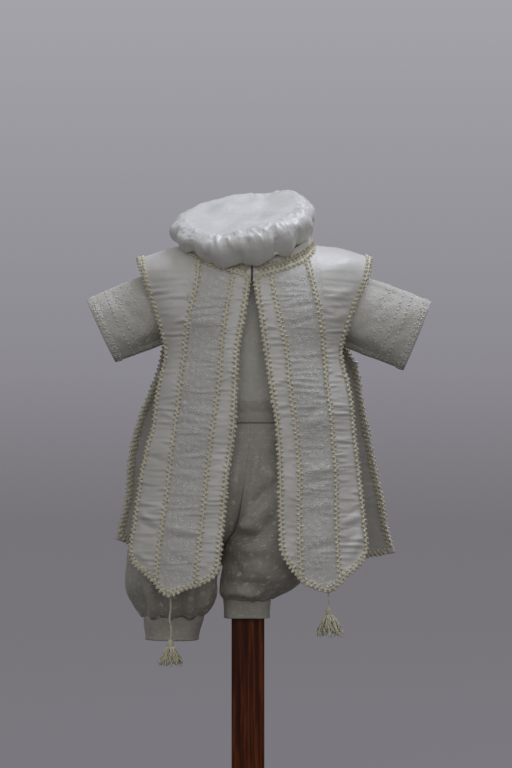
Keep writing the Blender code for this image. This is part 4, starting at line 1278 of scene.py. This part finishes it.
def front_embroidery(name, cloth, floss):
    """The middle strip's pattern, every FIGURE_REPEAT down it: a row of flowers, one of leaf pairs
    half a step aside, and a zigzag of dots."""
    ends = [cloth.u[110, nearest(FRONT_ACROSS, k)] for k in (1, 2)]
    middle, half = sum(ends) / 2, (ends[1] - ends[0]) / 2
    draw = np.random.default_rng(FIGURE_SEEDS[name])
    layout = []
    for v in np.arange(24, cloth.v[:, 22].max() - 8, FIGURE_REPEAT):
        for motif, step, below, shift, size in (
            (FLOWER, 7.6, 0.0, 0.0, 0.95),
            (LEAF_PAIR, 7.6, 6.6, 3.8, 0.8),
            (DOT, 3.8, 12.2, 0.0, 0.75),
        ):
            for k in np.arange(-5, 6):
                u = k * step + shift + draw.uniform(-0.5, 0.5)
                zigzag = 1.6 * (k % 2) if motif is DOT else draw.uniform(-0.6, 0.6)
                if abs(u) < half - 5:
                    layout.append((motif, middle + u, v + below + zigzag, draw.uniform(-25, 25), size))
    return embroider("embroidery_front_" + name, cloth, layout, floss)


# ---------------------------------------------------------------- the collar
COLLAR_COLUMNS = 261
COLLAR_ROWS = 9  # above the line that it is sewn to


def build_collar(sheets, satin, gilt):
    """A stand collar with one row of braid round it: a line a step inside the neckline of the
    fronts and the back, rows above it that rise and lean in towards the neck, and rows below
    it that tuck in behind the cape."""
    end = nearest(FRONT_ACROSS, NECK_ACROSS)
    behind = np.flatnonzero(np.abs(BACK_ACROSS) < BACK_NECK)
    runs = (
        (sheets["left"], np.arange(0, end + 1)),
        (sheets["back"], behind),
        (sheets["right"], np.arange(end, -1, -1)),
    )
    base = []
    for share, lift in ((0.0, 0.0), (0.5, -1.2), (1.0, -2.6)):
        line = np.concatenate([of.points[0, c] + of.normals[2, c] * lift for of, c in runs])
        down = np.concatenate([unit(of.points[2] - of.points[0])[c] for of, c in runs])
        line = line + down * (COLLAR_TUCK * share - COLLAR_STEP * (1 - share))
        far = travelled(line)
        line = along_line(np.linspace(0, far[-1], COLLAR_COLUMNS), far, line)
        base.append(averaged(line, 11))
    rise = column(COLLAR_HEIGHT, "height", np.linspace(0, 1, COLLAR_COLUMNS), "round")
    inward = unit((np.array([base[0][:, 0].mean(), -6.0, 0.0]) - base[0]) * (1, 1, 0))
    share = np.linspace(0, 1, COLLAR_ROWS)[:, None, None]
    upper = base[0] + inward * COLLAR_LEAN * share**1.4 + np.array([0, 0, 1.0]) * rise[:, None] * share
    points = np.concatenate([upper[::-1], [base[1]], [base[2]]])
    flat = Cloth(points, upper.mean((0, 1)))
    draw = np.random.default_rng(SEEDS["collar"])
    cloth = flat.raised(crumple(flat.u, flat.v, 22, 0.3, draw))
    made = sew("collar_satin", cloth, CLOTH, satin, "satin", "cape_collar")
    last = COLLAR_ROWS - 1
    path = [(last - 3.6 / max(rise[c], 4.5) * last, c) for c in range(2, COLLAR_COLUMNS - 2)]
    # Its finish is the darker copy of the gilt: painted shade under the beret.
    trims = [gimp("gimp_collar", [along_path(cloth, path)], gilt)]
    declare_sheet(flat)


# ---------------------------------------------------------------- the shirt
SHIRT_ROWS = (64, 9)  # up the body, and over the shoulder
SHIRT_COLUMNS = 73
SLEEVE_COLUMNS = 120
SLEEVE_ROWS = 54
SLEEVE_HEM = 9.0  # how far the hem's stitching is from its edge
# Creases of the shirt: x0 z0 x1 z1 width height, alike before and behind.
SHIRT_CREASES = ((-10, 560, 4, 470, 5, 1.2), (22, 540, 10, 460, 6, -1.2), (-34, 500, -20, 450, 6, 1.0))
# The sleeves' embroidery, up from the cuff: motif, how far up, spacing, size, turn in degrees.
SLEEVE_ROUNDS = (
    (FLOWER, 5.6, 9.5, 1.3, 0),
    (DOT, 12.5, 5.0, 0.8, 0),
    (DOT, 22.0, 5.6, 1.7, 0),
    (LEAF_PAIR, 30.0, 10.0, 1.7, 0),
    (SPRIG, 42.0, 13.0, 1.5, 180),
    (DOT, 52.0, 6.5, 0.9, 0),
)


def shirt_sheet(front):
    """Half of the shirt's body, from one side seam or armhole's edge to the other, and over
    the shoulders to the neckline."""
    body, over = SHIRT_ROWS
    z = np.concatenate([np.linspace(*SHIRT_SPAN, body), np.full(over, SHIRT_SPAN[1])])[:, None]
    share = np.concatenate([np.zeros(body), np.linspace(0, 1, over + 1)[1:]])[:, None]
    middle = SHIRT_NECK["front" if front else "back"]
    edge = 90 - np.maximum(column(SHIRT, "armhole", z), 0) * (1 - share)
    t = np.radians(edge * np.linspace(-1, 1, SHIRT_COLUMNS))
    neck = middle + (SHIRT_NECK["side"] - middle) * np.sin(t) ** 2
    z = z + (neck - z) * share
    width, depth = column(SHIRT, "half_width", z), column(SHIRT, "half_depth", z)
    y = depth * np.cos(t) + SEAM_GAP * 1.3
    points = xyz(SHIRT_CENTRE + width * np.sin(t), -y if front else y, z)
    return Cloth(points, np.array([SHIRT_CENTRE, 0, 510.0]))


def armhole_ring(side, angles):
    """Points round the armhole, just outside the shirt: a quarter turn on is its top."""
    low, high = ARMHOLE
    z = (low + high) / 2 + (high - low) / 2 * np.sin(angles)
    a, b = column(SHIRT, "half_width", z), column(SHIRT, "half_depth", z)
    edge = np.radians(np.maximum(column(SHIRT, "armhole", z), 0))
    reach = np.maximum(b * np.sin(edge), ARMHOLE_LEAST * np.abs(np.cos(angles)))
    outward = a * np.sqrt(1 - (reach / b) ** 2) + SLEEVE_STEP
    return xyz(SHIRT_CENTRE + side * outward, -np.sign(np.cos(angles)) * reach, z)


def sleeve_sheet(sizes):
    """A short sleeve: rings from the armhole to its straight cut cuff, flattened front to
    back, starting at the underarm."""
    angles = circle(SLEEVE_COLUMNS) - math.pi / 2
    root = armhole_ring(sizes["side"], angles)
    top, bottom = (np.array([sizes[k][0], 0, sizes[k][1]]) for k in ("top", "bottom"))
    middle, half = (top + bottom) / 2, (top - bottom) / 2
    round_x, round_y = power_ellipse(angles, SLEEVE_DEPTH / 2, 1.0, 2.4)
    cuff = middle + half * round_y[:, None] - np.outer(round_x, (0, 1, 0))
    s = np.linspace(0, 1, SLEEVE_ROWS)[:, None, None]
    cap = np.clip(np.sin(angles), 0, 1)[None, :, None] * np.sin(math.pi * s) * SLEEVE_CAP
    points = root * (1 - s) + cuff * s + cap * np.array([0, 0, 1.0])
    return Cloth(points, points.mean(1, keepdims=True), closed=True)


# Creases of each sleeve: x0 z0 x1 z1 width height, on its front, and alike behind it.
SLEEVE_CREASES = {
    "left": (
        (-150, 580, -118, 548, 6.0, -1.6),
        (-138, 590, -104, 566, 6.0, 1.4),
        (-120, 556, -100, 530, 7.0, -1.5),
        (-150, 540, -128, 524, 5.0, 1.2),
        (-166, 556, -150, 520, 6.0, 0.9),
    ),
    "right": (
        (160, 578, 132, 552, 6.0, -1.5),
        (176, 558, 148, 530, 7.0, 1.4),
        (140, 548, 116, 536, 6.0, -1.4),
        (170, 532, 148, 516, 5.0, 1.3),
        (190, 556, 176, 520, 6.0, 0.9),
    ),
}


def build_shirt(brocade, floss):
    """The front, the back and the two short sleeves with their embroidery."""
    draw = np.random.default_rng(SEEDS["shirt"])
    for which in ("front", "back"):
        flat = shirt_sheet(which == "front")
        relief = crumple(flat.u, flat.v, 45, 0.7, draw)
        relief += creases(flat.points[..., 0], flat.points[..., 2], SHIRT_CREASES)
        name, cloth = "shirt_brocade_" + which, flat.raised(relief)
        made = sew(name, cloth, CLOTH, brocade, "brocade", "shirt_" + which)
        declare_sheet(flat)
    for name, sizes in SLEEVES.items():
        flat = sleeve_sheet(sizes)
        x, z = flat.points[..., 0], flat.points[..., 2]
        relief = creases(x, z, SLEEVE_CREASES[name])
        relief += crumple(flat.u[:, :-1], flat.v[:, :-1], 40, 0.35, draw)
        past_hem = flat.v[-1, :-1] - flat.v[:, :-1] - SLEEVE_HEM
        relief += 0.45 * (1 - ease(past_hem / 1.2)) - 0.5 * np.exp(-((past_hem / 0.9) ** 2))
        cloth = flat.raised(relief)
        made = sew("sleeve_brocade_" + name, cloth, CLOTH, brocade, "brocade", "sleeve_" + name)
        around = float(cloth.u[-1, -1])
        layout = []
        for motif, back, far, size, turn in SLEEVE_ROUNDS:
            for u in np.arange(far / 2, around - far / 3, far):
                layout.append((motif, u, -back, turn + draw.uniform(-14, 14), size))
        trims = [embroider("embroidery_sleeve_" + name, cloth, layout, floss, 0.4)]
        declare_sheet(flat)


# ---------------------------------------------------------------- the breeches
LEG_ROWS = 98
LEG_COLUMNS = 115
BAND_GRID = (20, 240)
CUFF_GRID = (16, 144)
SPRIG_ROWS = 12.5  # from one row of a leg's embroidery to the next
SPRIG_STEP = 17.0
# The fine gathers at a leg's top and foot: how many, how far they reach, their height.
TOP_GATHERS = (34, 16, 1.3)
FOOT_GATHERS = (26, 22, 1.8)


def leg_sheet(name):
    """One leg: above the crotch it runs from the centre front seam round the outside to the
    centre back seam, where its edges turn in, and below it closes into a tube along the
    inseam. Its top rows go up behind the waistband."""
    sizes, side = LEGS[name], -1 if name == "left" else 1
    z = np.linspace(LEG_TOP, LEG_FOOT[name], LEG_ROWS)[:, None]
    seam, outer, half_depth = (column(sizes, n, z) for n in ("seam", "outer", "half_depth"))
    start = np.maximum(np.radians(column(sizes, "opening", z)), np.arcsin(SEAM_GAP / half_depth))
    seam = seam + side * (0.05 + CLOTH / 2 * np.cos(start))
    half = np.abs(outer - seam) / (1 + np.cos(start))
    centre = seam + side * half * np.cos(start)
    along = np.linspace(SEAM_SHARE, 1 - SEAM_SHARE, LEG_COLUMNS)
    along = np.concatenate([[0.0, 0.0015], along, [0.9985, 1.0]])
    t = start + (2 * math.pi - 2 * start) * along
    low = np.clip((sizes["height"].min() + GATHER_HEIGHT - z) / GATHER_HEIGHT, 0, 1)
    gathers = (GATHER_DEPTH + GATHER_DEPTH_LOW * low) * np.sin(math.pi * along)
    wave = 1 + gathers * np.cos(2 * math.pi * LEG_GATHERS * along)
    x = centre - side * half * wave * np.cos(t)
    y = column(sizes, "middle", z) - half_depth * wave * np.sin(t)
    turned = np.clip(1 - np.minimum(along, 1 - along) / SEAM_SHARE, 0, 1)
    y = y + SEAM_TURN * turned * np.sign(0.5 - along) * np.sin(start)
    points = xyz(x, y, z + 0 * t)
    middle = xyz(centre, column(sizes, "middle", z), z)
    rise = np.array([1.0, 0.6, 0.25])[:, None, None]
    top = points[:1] + (middle[:1] - points[:1]) * 0.04 * np.minimum(rise * 1.6, 1)
    points = np.concatenate([top + np.array([0, 0, TUCK]) * rise, points])
    return Cloth(points, np.concatenate([middle[:1]] * 3 + [middle])), along


# Creases of each leg: x0 z0 x1 z1 width height, on its front, and alike behind it.
LEG_CREASES = {
    "left": (
        (-52, 262, -56, 224, 4.0, -4.6),
        (-62, 268, -64, 224, 3.6, 3.6),
        (-74, 262, -73, 224, 4.4, -4.4),
        (-87, 268, -84, 224, 4.0, 4.0),
        (-98, 262, -93, 224, 4.0, -4.6),
        (-110, 266, -102, 226, 4.0, 3.6),
        (-118, 262, -110, 228, 3.5, -3.4),
        (-40, 262, -48, 232, 4.0, 2.6),
        (-30, 330, -60, 250, 9.0, 3.2),
        (-14, 400, -20, 330, 9.0, 2.6),
        (-22, 320, -30, 270, 6.0, -2.4),
    ),
    "right": (
        (-20, 314, 16, 317, 4.2, -9.5),
        (16, 317, 27, 339, 4.2, -7.0),
        (-16, 328, 8, 329, 6.5, 6.5),
        (8, 330, 18, 350, 6.0, 5.0),
        (-14, 301, 26, 305, 8.0, 5.0),
        (-2, 379, -14, 330, 3.6, -5.0),
        (8, 408, 2, 362, 8.0, 4.5),
        (26, 372, 4, 347, 5.0, -6.0),
        (20, 388, 30, 374, 7.0, 4.5),
        (36, 420, 32, 380, 9.0, -3.0),
        (-20, 290, -6, 270, 6.0, -3.0),
        (4, 290, 22, 268, 7.0, 2.2),
        (-26, 253, -8, 256, 3.4, 6.5),
        (-8, 256, 10, 252, 3.4, 6.0),
        (-24, 264, 12, 264, 5.0, -3.4),
        (22, 290, 44, 270, 6.0, -2.4),
        (30, 318, 66, 306, 8.0, -3.0),
    ),
}


def band_sheet(sizes, rows, sides, centre=None, squareness=None, tuck=0.0):
    """A short tube of elastic or cuff, from its bottom to its top, and past it by tuck, where
    it draws in under the piece above."""
    low, high = sizes["height"][0], sizes["height"][-1]
    past = tuck * np.array([0.3, 0.65, 1.0]) if tuck else np.array([])
    z = np.concatenate([np.linspace(low, high, rows), high + past])[:, None]
    angle = circle(sides) + math.pi / 2
    power = 2.0 if squareness is None else column(sizes, squareness, z)
    x, y = power_ellipse(angle, column(sizes, "half_width", z), column(sizes, "half_depth", z), power)
    drawn = 1 - 0.16 * ease((z - high) / max(tuck, 1))
    middle = SHIRT_CENTRE if centre is None else column(sizes, centre, z)
    return Cloth(xyz(middle + x * drawn, y * drawn, z), xyz(middle, 0, z), closed=True)


def ruching(draw, cloth, count, height):
    """Fine upright gathers that elastic pulls into a band, unevenly spaced round it."""
    around = cloth.u[:, :-1] / cloth.u[:, -1:]
    total = np.zeros(around.shape)
    for _ in range(count):
        at, wide, tall = draw.random(), draw.uniform(0.25, 0.5) / count, draw.uniform(0.4, 1.2)
        away = np.abs((around - at + 0.5) % 1 - 0.5)
        total += tall * np.exp(-((away / wide) ** 2))
    return total * height


def build_breeches(brocade, floss):
    """The waistband with its two channels, the embroidered legs and their cuffs."""
    draw = np.random.default_rng(SEEDS["breeches"])
    flat = band_sheet(WAISTBAND, *BAND_GRID)
    share = (flat.v / flat.v[-1])[:, :-1]
    channels = 0.9 * np.abs(np.sin(2 * math.pi * share)) - 0.4
    relief = channels + ruching(draw, flat, 72, 0.4)
    cloth = flat.raised(relief)
    made = sew("waistband_elastic", cloth, RIBBED, brocade, "brocade", "breeches_waistband")
    declare_sheet(flat)
    for name in ("left", "right"):
        flat, along = leg_sheet(name)
        x, z = flat.points[..., 0], flat.points[..., 2]
        front = flat.points[..., 1] < 0
        relief = creases(x, z, LEG_CREASES[name]) * front
        mirrored = [(a + 6, b, c - 4, d, w, -h * 0.6) for a, b, c, d, w, h in LEG_CREASES[name]]
        relief += creases(x, z, mirrored) * ~front
        top, foot = np.maximum(LEG_TOP - z, 0), z - LEG_FOOT[name]
        for edge, count, reach, tall in ((top, *TOP_GATHERS), (foot, *FOOT_GATHERS)):
            for at in np.linspace(0.02, 0.98, count) + draw.uniform(-0.012, 0.012, count):
                long, wide = draw.uniform(0.5, 1.4) * reach, draw.uniform(0.25, 0.45) / count
                bell = np.exp(-(((along - at) / wide) ** 2) - edge / long)
                relief += draw.uniform(0.4, 1) * tall * bell
        relief += crumple(x, z, 50, 1.1, draw)
        relief *= ease((np.minimum(along, 1 - along) - SEAM_SHARE) / 0.03)
        relief *= ease((LEG_TOP + 1 - z) / 3)
        cloth = flat.raised(relief)
        made = sew("leg_brocade_" + name, cloth, CLOTH, brocade, "brocade", "breeches_leg_" + name)
        layout = []
        for k, v in enumerate(np.arange(16, cloth.v[-1].max() - 10, SPRIG_ROWS)):
            for u in np.arange(10 + SPRIG_STEP / 2 * (k % 2), cloth.u[40, -1] - 8, SPRIG_STEP):
                motif = (SPRIG, FLOWER, LEAF_PAIR, FLOWER)[int(draw.integers(4))]
                layout.append((motif, u, v, draw.uniform(-40, 40), draw.uniform(0.7, 0.95)))
                layout.append((DOT, u + 7, v + 4, 0, 0.7))
        trims = [embroider("embroidery_leg_" + name, cloth, layout, floss, 0.3)]
        declare_sheet(flat)
        flat = band_sheet(CUFFS[name], *CUFF_GRID, "centre", "squareness", TUCK)
        share = np.minimum(flat.points[..., 2] - flat.points[..., 2].min(), 25) / 25
        relief = ruching(draw, flat, 36, 0.4) * ease((share - 0.4) / 0.5)
        relief += 0.4 * (share < 0.1)
        relief += crumple(flat.points[..., 0], flat.points[..., 2], 28, 0.5, draw)
        cloth, node = flat.raised(relief), "breeches_cuff_" + name
        made = sew("knee_cuff_" + name, cloth, RIBBED, brocade, "brocade", node)
        declare_sheet(flat)


# ---------------------------------------------------------------- the beret
def beret_turn():
    """How the beret is turned: rolled to its left, then tipped to the front."""
    roll, tilt = math.radians(-BERET_ROLL), math.radians(BERET_TILT)
    c, s = math.cos(roll), math.sin(roll)
    about_y = np.array([[c, 0, s], [0, 1, 0], [-s, 0, c]])
    c, s = math.cos(tilt), math.sin(tilt)
    return about_y @ np.array([[1, 0, 0], [0, c, -s], [0, s, c]])


def on_head(local):
    """From the beret's own axes to the world: tipped to the front and its right side up."""
    return local @ beret_turn().T + np.array(BERET_CENTRE)


# Folds of the puff: round0 along0 round1 along1 width height, round in degrees.
PUFF_FOLDS = (
    (222, 2.2, 214, 4.8, 5.0, -2.4),
    (238, 2.0, 232, 4.6, 8.0, 1.8),
    (248, 2.2, 247, 5.0, 7.0, 3.8),
    (239, 2.6, 237, 4.6, 3.0, -1.8),
    (264, 2.8, 263, 5.4, 4.0, -3.6),
    (279, 2.2, 279, 5.0, 6.0, 3.6),
    (272, 2.4, 270, 4.2, 2.5, -1.2),
    (295, 1.4, 296, 5.6, 3.8, -6.0),
    (308, 2.2, 307, 4.6, 5.0, 2.4),
    (318, 1.8, 320, 4.8, 3.0, -2.0),
    (333, 1.8, 336, 5.0, 6.0, 2.2),
    (346, 2.2, 350, 4.8, 4.0, -2.6),
    (8, 1.8, 4, 5.0, 7.0, 2.2),
    (24, 2.4, 30, 4.8, 4.0, -3.2),
    (47, 1.6, 44, 4.8, 8.0, 2.0),
    (68, 2.0, 65, 5.2, 3.6, -3.8),
    (88, 2.6, 92, 4.4, 7.0, 2.6),
    (112, 1.8, 108, 5.0, 4.2, -3.0),
    (133, 2.4, 138, 4.6, 8.0, 1.8),
    (158, 1.8, 155, 5.2, 3.6, -3.6),
    (176, 2.4, 174, 4.6, 7.0, 2.4),
    (196, 2.0, 200, 5.0, 4.0, -3.0),
    (208, 2.4, 206, 4.2, 5.0, 1.8),
)
# Swells of the crown and of its rim: x0 y0 x1 y1 width height, in the beret's own axes.
CROWN_SWELLS = (
    (-40, 16, 14, 34, 17, 4.5),
    (-58, -14, 30, -36, 9, 1.6),
    (-70, 4, -60, 30, 12, 2.2),
    (-50, -42, -6, -64, 16, -6.0),
    (24, 26, 32, 60, 9, -3.6),
    (44, 52, 68, 14, 13, 5.5),
    (-20, -50, 34, -46, 6, -1.4),
    (-8, -18, 50, -10, 9, 1.5),
    (-30, -34, -12, -4, 6, -1.2),
    (16, -30, 24, 6, 5, -1.0),
)
CRINKLES = 330
BERET_COLUMNS = 480
CROWN_EDGE = 66.0
PUFF_TURN = 65.0  # millimetres of pattern round the puff for each radian
PUFF_GATHERS = 64  # fine gathers where the puff runs in to the band


def turned_from(degrees, at):
    """How many degrees round from at each angle is, from -180 to 180."""
    return (degrees - at + 180) % 360 - 180


def rim_crinkles(degrees, out):
    """The fine pleats that the gathering leaves across the beret's rim, alike on its crown and
    its puff, and taller towards the front. Each is a narrow ridge, or a groove, at nearly one
    angle, which starts and ends some millimetres out from the crown's edge."""
    draw = np.random.default_rng(RIM_SEED)
    total = np.zeros(np.broadcast(degrees, out).shape)
    for _ in range(CRINKLES):
        a, start, long = draw.uniform(0, 360), draw.uniform(-11, 13), draw.uniform(7, 20)
        wide, tall, drift = draw.uniform(1.1, 2.6), draw.uniform(-1.0, 1.7), draw.uniform(-0.4, 0.4)
        away = turned_from(degrees, a + drift * (out - start))
        inside = ease((out - start) / 5) * ease((start + long - out) / (0.6 * long))
        tall *= 0.7 - 0.3 * math.sin(math.radians(a))
        total += tall * np.exp(-((np.abs(away) / wide) ** 1.6)) * inside
    return total


def build_beret(crushed, pleated):
    """The crown, the puff that is gathered round it and the band that the head goes in."""
    draw = np.random.default_rng(SEEDS["beret"])
    turn = 2 * math.pi * np.arange(BERET_COLUMNS + 1) / BERET_COLUMNS
    degrees = np.degrees(turn[:-1])
    ring = np.stack([np.cos(turn[:-1]), np.sin(turn[:-1])], 1)

    def around(radius, height):
        return xyz(radius * ring[:, 0], radius * ring[:, 1], height)

    share = column(PUFF_SHARE, "share", degrees, "round")
    # crushed and pleated are lighter copies of the body's satin: painted light on the hat.
    build_crown(draw, around, degrees, crushed)
    build_puff(draw, around, turn, share, pleated)
    build_band(draw, around, share, crushed)


def build_crown(draw, around, degrees, satin):
    """The crown's disc, pleated towards its edge. Its middle is ringed closely, to be smooth."""
    radius = np.concatenate([[0.03, 0.15, 0.8, 4, 10], np.linspace(16, CROWN_EDGE, 34)])[:, None]
    height = column(CROWN, "height", radius, "radius") - 1.3 * ease((radius - 63) / 3)
    local = around(radius, height)
    flat = Cloth(on_head(local), np.array(BERET_CENTRE) - beret_turn()[:, 2] * 90, closed=True)
    x, y = local[..., 0], local[..., 1]
    relief = crumple(x, y, 30, 0.9, draw) * ease((CROWN_EDGE - radius) / 9)
    relief += creases(x, y, CROWN_SWELLS)
    relief = relief * ease(radius / 6) + rim_crinkles(degrees, radius - CROWN_EDGE + 1)
    made = sew("beret_crown_satin", flat.raised(relief), CLOTH, satin, "satin", "beret_crown")
    declare_sheet(flat)


def build_puff(draw, around, turn, share, satin):
    """The puff, from the crown's edge round its rim to the band. share is how tall it stands,
    beside its table's heights, at each angle. Its pattern runs with the turn, so that the
    satin's fine folds lie straight across the rim."""
    degrees = np.degrees(turn[:-1])
    along = np.concatenate([np.linspace(0, 2, 34)[:-1], np.linspace(2, 6, 36)])[:, None]
    radius, height = column(PUFF, "radius", along, "along"), column(PUFF, "height", along, "along")
    height = height * np.where(height < 0, share, 1)
    x, y = np.moveaxis(around(radius, 0)[..., :2], -1, 0)
    rim = creases(x, y, CROWN_SWELLS) * ease((2.4 - along) / 1.8)
    core = around(PUFF_MIDDLE[0], PUFF_MIDDLE[1] * share)
    flat = Cloth(on_head(around(radius, height + rim)), on_head(core)[None], closed=True)
    relief = rim_crinkles(degrees, flat.v[:, :1] - 2.5)
    for a0, s0, a1, s1, wide, tall in PUFF_FOLDS:
        t = np.clip((along - s0) / (s1 - s0), 0, 1)
        away = turned_from(degrees, a0 + (a1 - a0) * t)
        inside = ease((along - s0 + 1.4) / 2.2) * ease((s1 + 0.5 - along) / 0.9)
        relief += tall * np.exp(-((away / wide) ** 2)) * inside
    for a in np.linspace(0, 360, PUFF_GATHERS) + draw.uniform(-2, 2, PUFF_GATHERS):
        bell = np.exp(-((turned_from(degrees, a) / 1.2) ** 2))
        relief += draw.uniform(0.4, 1.3) * bell * ease((along - 4.2) / 1.8)
    relief += crumple(x, y + height, 34, 0.7, draw) * ease(along / 0.8)
    cloth = flat.raised(relief * ease((6.05 - along) / 0.25))
    cloth.u = PUFF_TURN * turn + 0 * cloth.u
    made = sew("beret_puff_satin", cloth, CLOTH, satin, "satin", "beret_puff")
    declare_sheet(flat)


def build_band(draw, around, share, satin):
    """The narrow band inside the puff's lower edge, BERET_BAND_STEP further down."""
    (top, low), (wide, narrow) = BERET_BAND["height"], BERET_BAND["radius"]
    t = np.linspace(0, 1, 6)[:, None]
    height = top * share + (low - top) * t - BERET_BAND_STEP
    middle = on_head(xyz(0, 0, height))
    flat = Cloth(on_head(around(wide + (narrow - wide) * t, height)), middle, closed=True)
    cloth = flat.raised(ruching(draw, flat, 60, 0.3))
    made = sew("beret_band_satin", cloth, CLOTH, satin, "satin", "beret_band")
    declare_sheet(flat)


# ---------------------------------------------------------------- tassels, cords and bead
def build_cords(silk):
    """Each tassel's cord: a smooth curve through its route's points, as one round bevel."""
    for name in ("left", "right"):
        known = np.array(CORDS[name])
        far = travelled(known)
        at = np.linspace(0, far[-1], CORD_POINTS)
        points = np.stack([smooth(far, known[:, k], at) for k in range(3)], 1)
        curve = bpy.data.curves.new("cord_" + name, "CURVE")
        curve.dimensions = "3D"
        curve.bevel_depth = CORD_DIAMETER[name] / 2 * MM
        curve.bevel_resolution = 3
        curve.use_fill_caps = True
        line = curve.splines.new("POLY")
        line.points.add(len(points) - 1)
        for p, place in zip(line.points, points):
            p.co = (*(place * MM), 1)
        curve.materials.append(silk)
        cord = bpy.data.objects.new("cord_" + name, curve)
        bpy.context.scene.collection.objects.link(cord)
        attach(cord, "root")
        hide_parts("tassel_cord_" + name)


THREADS = 84
THREAD_RADIUS = 0.5
HEAD_TURNS = 9
HEAD_POINTS = 150
HEAD_RADIUS = 3.0
HEAD_THREAD = 0.62


def build_tassels(silk):
    """Each tassel: a wound head over a bundle of crinkled threads that spread towards their
    cut ends. A thread runs down from the neck, outward as the square root of how far down it
    is, roughly, with two sine waves for its crinkle."""
    for name, size in TASSELS.items():
        draw = np.random.default_rng(TASSEL_SEED + len(name))
        t = np.linspace(0, 1, 22)
        turn = draw.uniform(0, 2 * math.pi, THREADS)[:, None]
        spread = np.sqrt(draw.uniform(0.02, 1, THREADS))[:, None] * (size["reach"] - THREAD_RADIUS - 0.8)
        long = (size["neck"] - size["hem"]) * draw.uniform(0.72, 0.99, THREADS)[:, None]
        out = 1.2 + spread * t**0.55
        wave, phase = draw.uniform(1.6, 4.2, (THREADS, 1)), draw.uniform(0, 6.3, (THREADS, 1))
        bend = 1.5 * t * np.sin(2 * math.pi * wave * t + phase)
        sway = 0.6 * np.sin(2 * math.pi * wave * 0.7 * t + phase * 1.7)
        aside = turn + sway * t * 3 / np.maximum(out, 2)
        x = size["axis"][0] + (out + bend) * np.cos(aside)
        y = size["axis"][1] + (out + bend) * np.sin(aside)
        z = size["neck"] + 1.5 - long * t - 1.2 * t * (spread / size["reach"])
        centres = np.stack([x, y, z + 0 * x], -1)
        up = unit(np.stack([np.sin(turn), -np.cos(turn), 0 * turn], -1))
        up = np.broadcast_to(up, centres.shape)
        parts = [tubes(centres, np.full(centres.shape[:2], THREAD_RADIUS), up, 4)]
        wind = np.linspace(0, 1, HEAD_POINTS)
        coil = 2 * math.pi * HEAD_TURNS * wind
        fat = HEAD_RADIUS * np.sin(math.pi * np.clip(wind * 0.8 + 0.14, 0, 1)) ** 0.5
        head = xyz(
            size["axis"][0] + fat * np.cos(coil),
            size["axis"][1] + fat * np.sin(coil),
            size["neck"] + (size["top"] - size["neck"]) * wind,
        )[None]
        upright = np.broadcast_to([0.0, 0, 1], head.shape)
        parts.append(tubes(head, np.full(head.shape[:2], HEAD_THREAD), upright, 6))
        threads("tassel_threads_" + name, parts, silk, "braid", "tassel_" + name)


def build_bead(pearl):
    """A pearl bead turned as a sphere that dips at both ends of its hole."""
    low, high = (np.array(c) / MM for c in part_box("pearl_bead"))
    middle = (low + high) / 2
    t = np.linspace(0.02, math.pi - 0.02, 26)
    radius = BEAD_RADIUS * np.sin(t)
    dip = 0.16 * np.exp(-((np.sin(t) / 0.28) ** 2)) * np.sign(np.cos(t))
    height = BEAD_RADIUS * (np.cos(t) - dip)
    rings = swept(radius, circle(32), height)[::-1]
    lathed("bead_pearl", rings + middle, pearl, "pearl_bead")


# ---------------------------------------------------------------- all together
def main():
    """The studio, the finishes and every piece."""
    set_camera()
    set_light()
    build_stage()
    satin = ivory_satin()
    # The beret's satins are lighter copies of the body's satin: painted light falling on the hat from above.
    crushed = ivory_satin("crushed_duchess_satin_painted_light", 2.0, 0.0, "#EBE9E2", "#F8F6F1")
    pleated = ivory_satin("pleated_duchess_satin_painted_light", 2.0, 1.0, "#EBE9E2", "#F8F6F1")
    brocade = ivory_brocade("ivory_jacquard_brocade", "#D9D5C8", "#EEEBE1", 7.0)
    # A darker copy of the same brocade, for the breeches: painted shade under the cape.
    shaded_brocade = ivory_brocade("painted_shade_ivory_jacquard_brocade", "#B5B0A2", "#D1CDC0", 7.0)
    damask = ivory_brocade("white_figured_brocade", "#D6D3C9", "#FAF9F4", 7.0)
    gilt = wrapped_thread("gilt_gimp_braid", "#BDB38F", "#FFF9E2", 0.32, 0.8)
    # The collar's braid: a darker copy of the gilt braid, painted shade of the beret over it, with the
    # thread's uneven wear.
    worn_and_shaded = wrapped_thread("painted_shade_gilt_gimp_braid", "#94896A", "#E2D9BB", 0.38, 0.8)
    silk = wrapped_thread("cream_gilt_silk_thread", "#B5AB82", "#F5F0D6", 0.45, 0.9)
    floss = wrapped_thread("white_silk_floss", "#E6E4DC", "#FDFCF6", 0.5, 0.5)
    weft = wrapped_thread("ivory_silk_floss", "#DAD7CB", "#F2F0E8", 0.5, 0.5)
    build_tassels(silk)
    build_cords(silk)
    base_wood = stained_pine("stained_pine_base", (0.035, 1, 1))
    post_wood = stained_pine("stained_pine_post", (1, 1, 0.035))
    build_stand(base_wood, post_wood, linen_cover())
    build_cape(satin, damask, gilt, worn_and_shaded, floss)
    build_shirt(brocade, weft)
    # The breeches take the darker brocade copy: painted shade.
    build_breeches(shaded_brocade, weft)
    build_beret(crushed, pleated)
    build_bead(pearl_glass())


main()
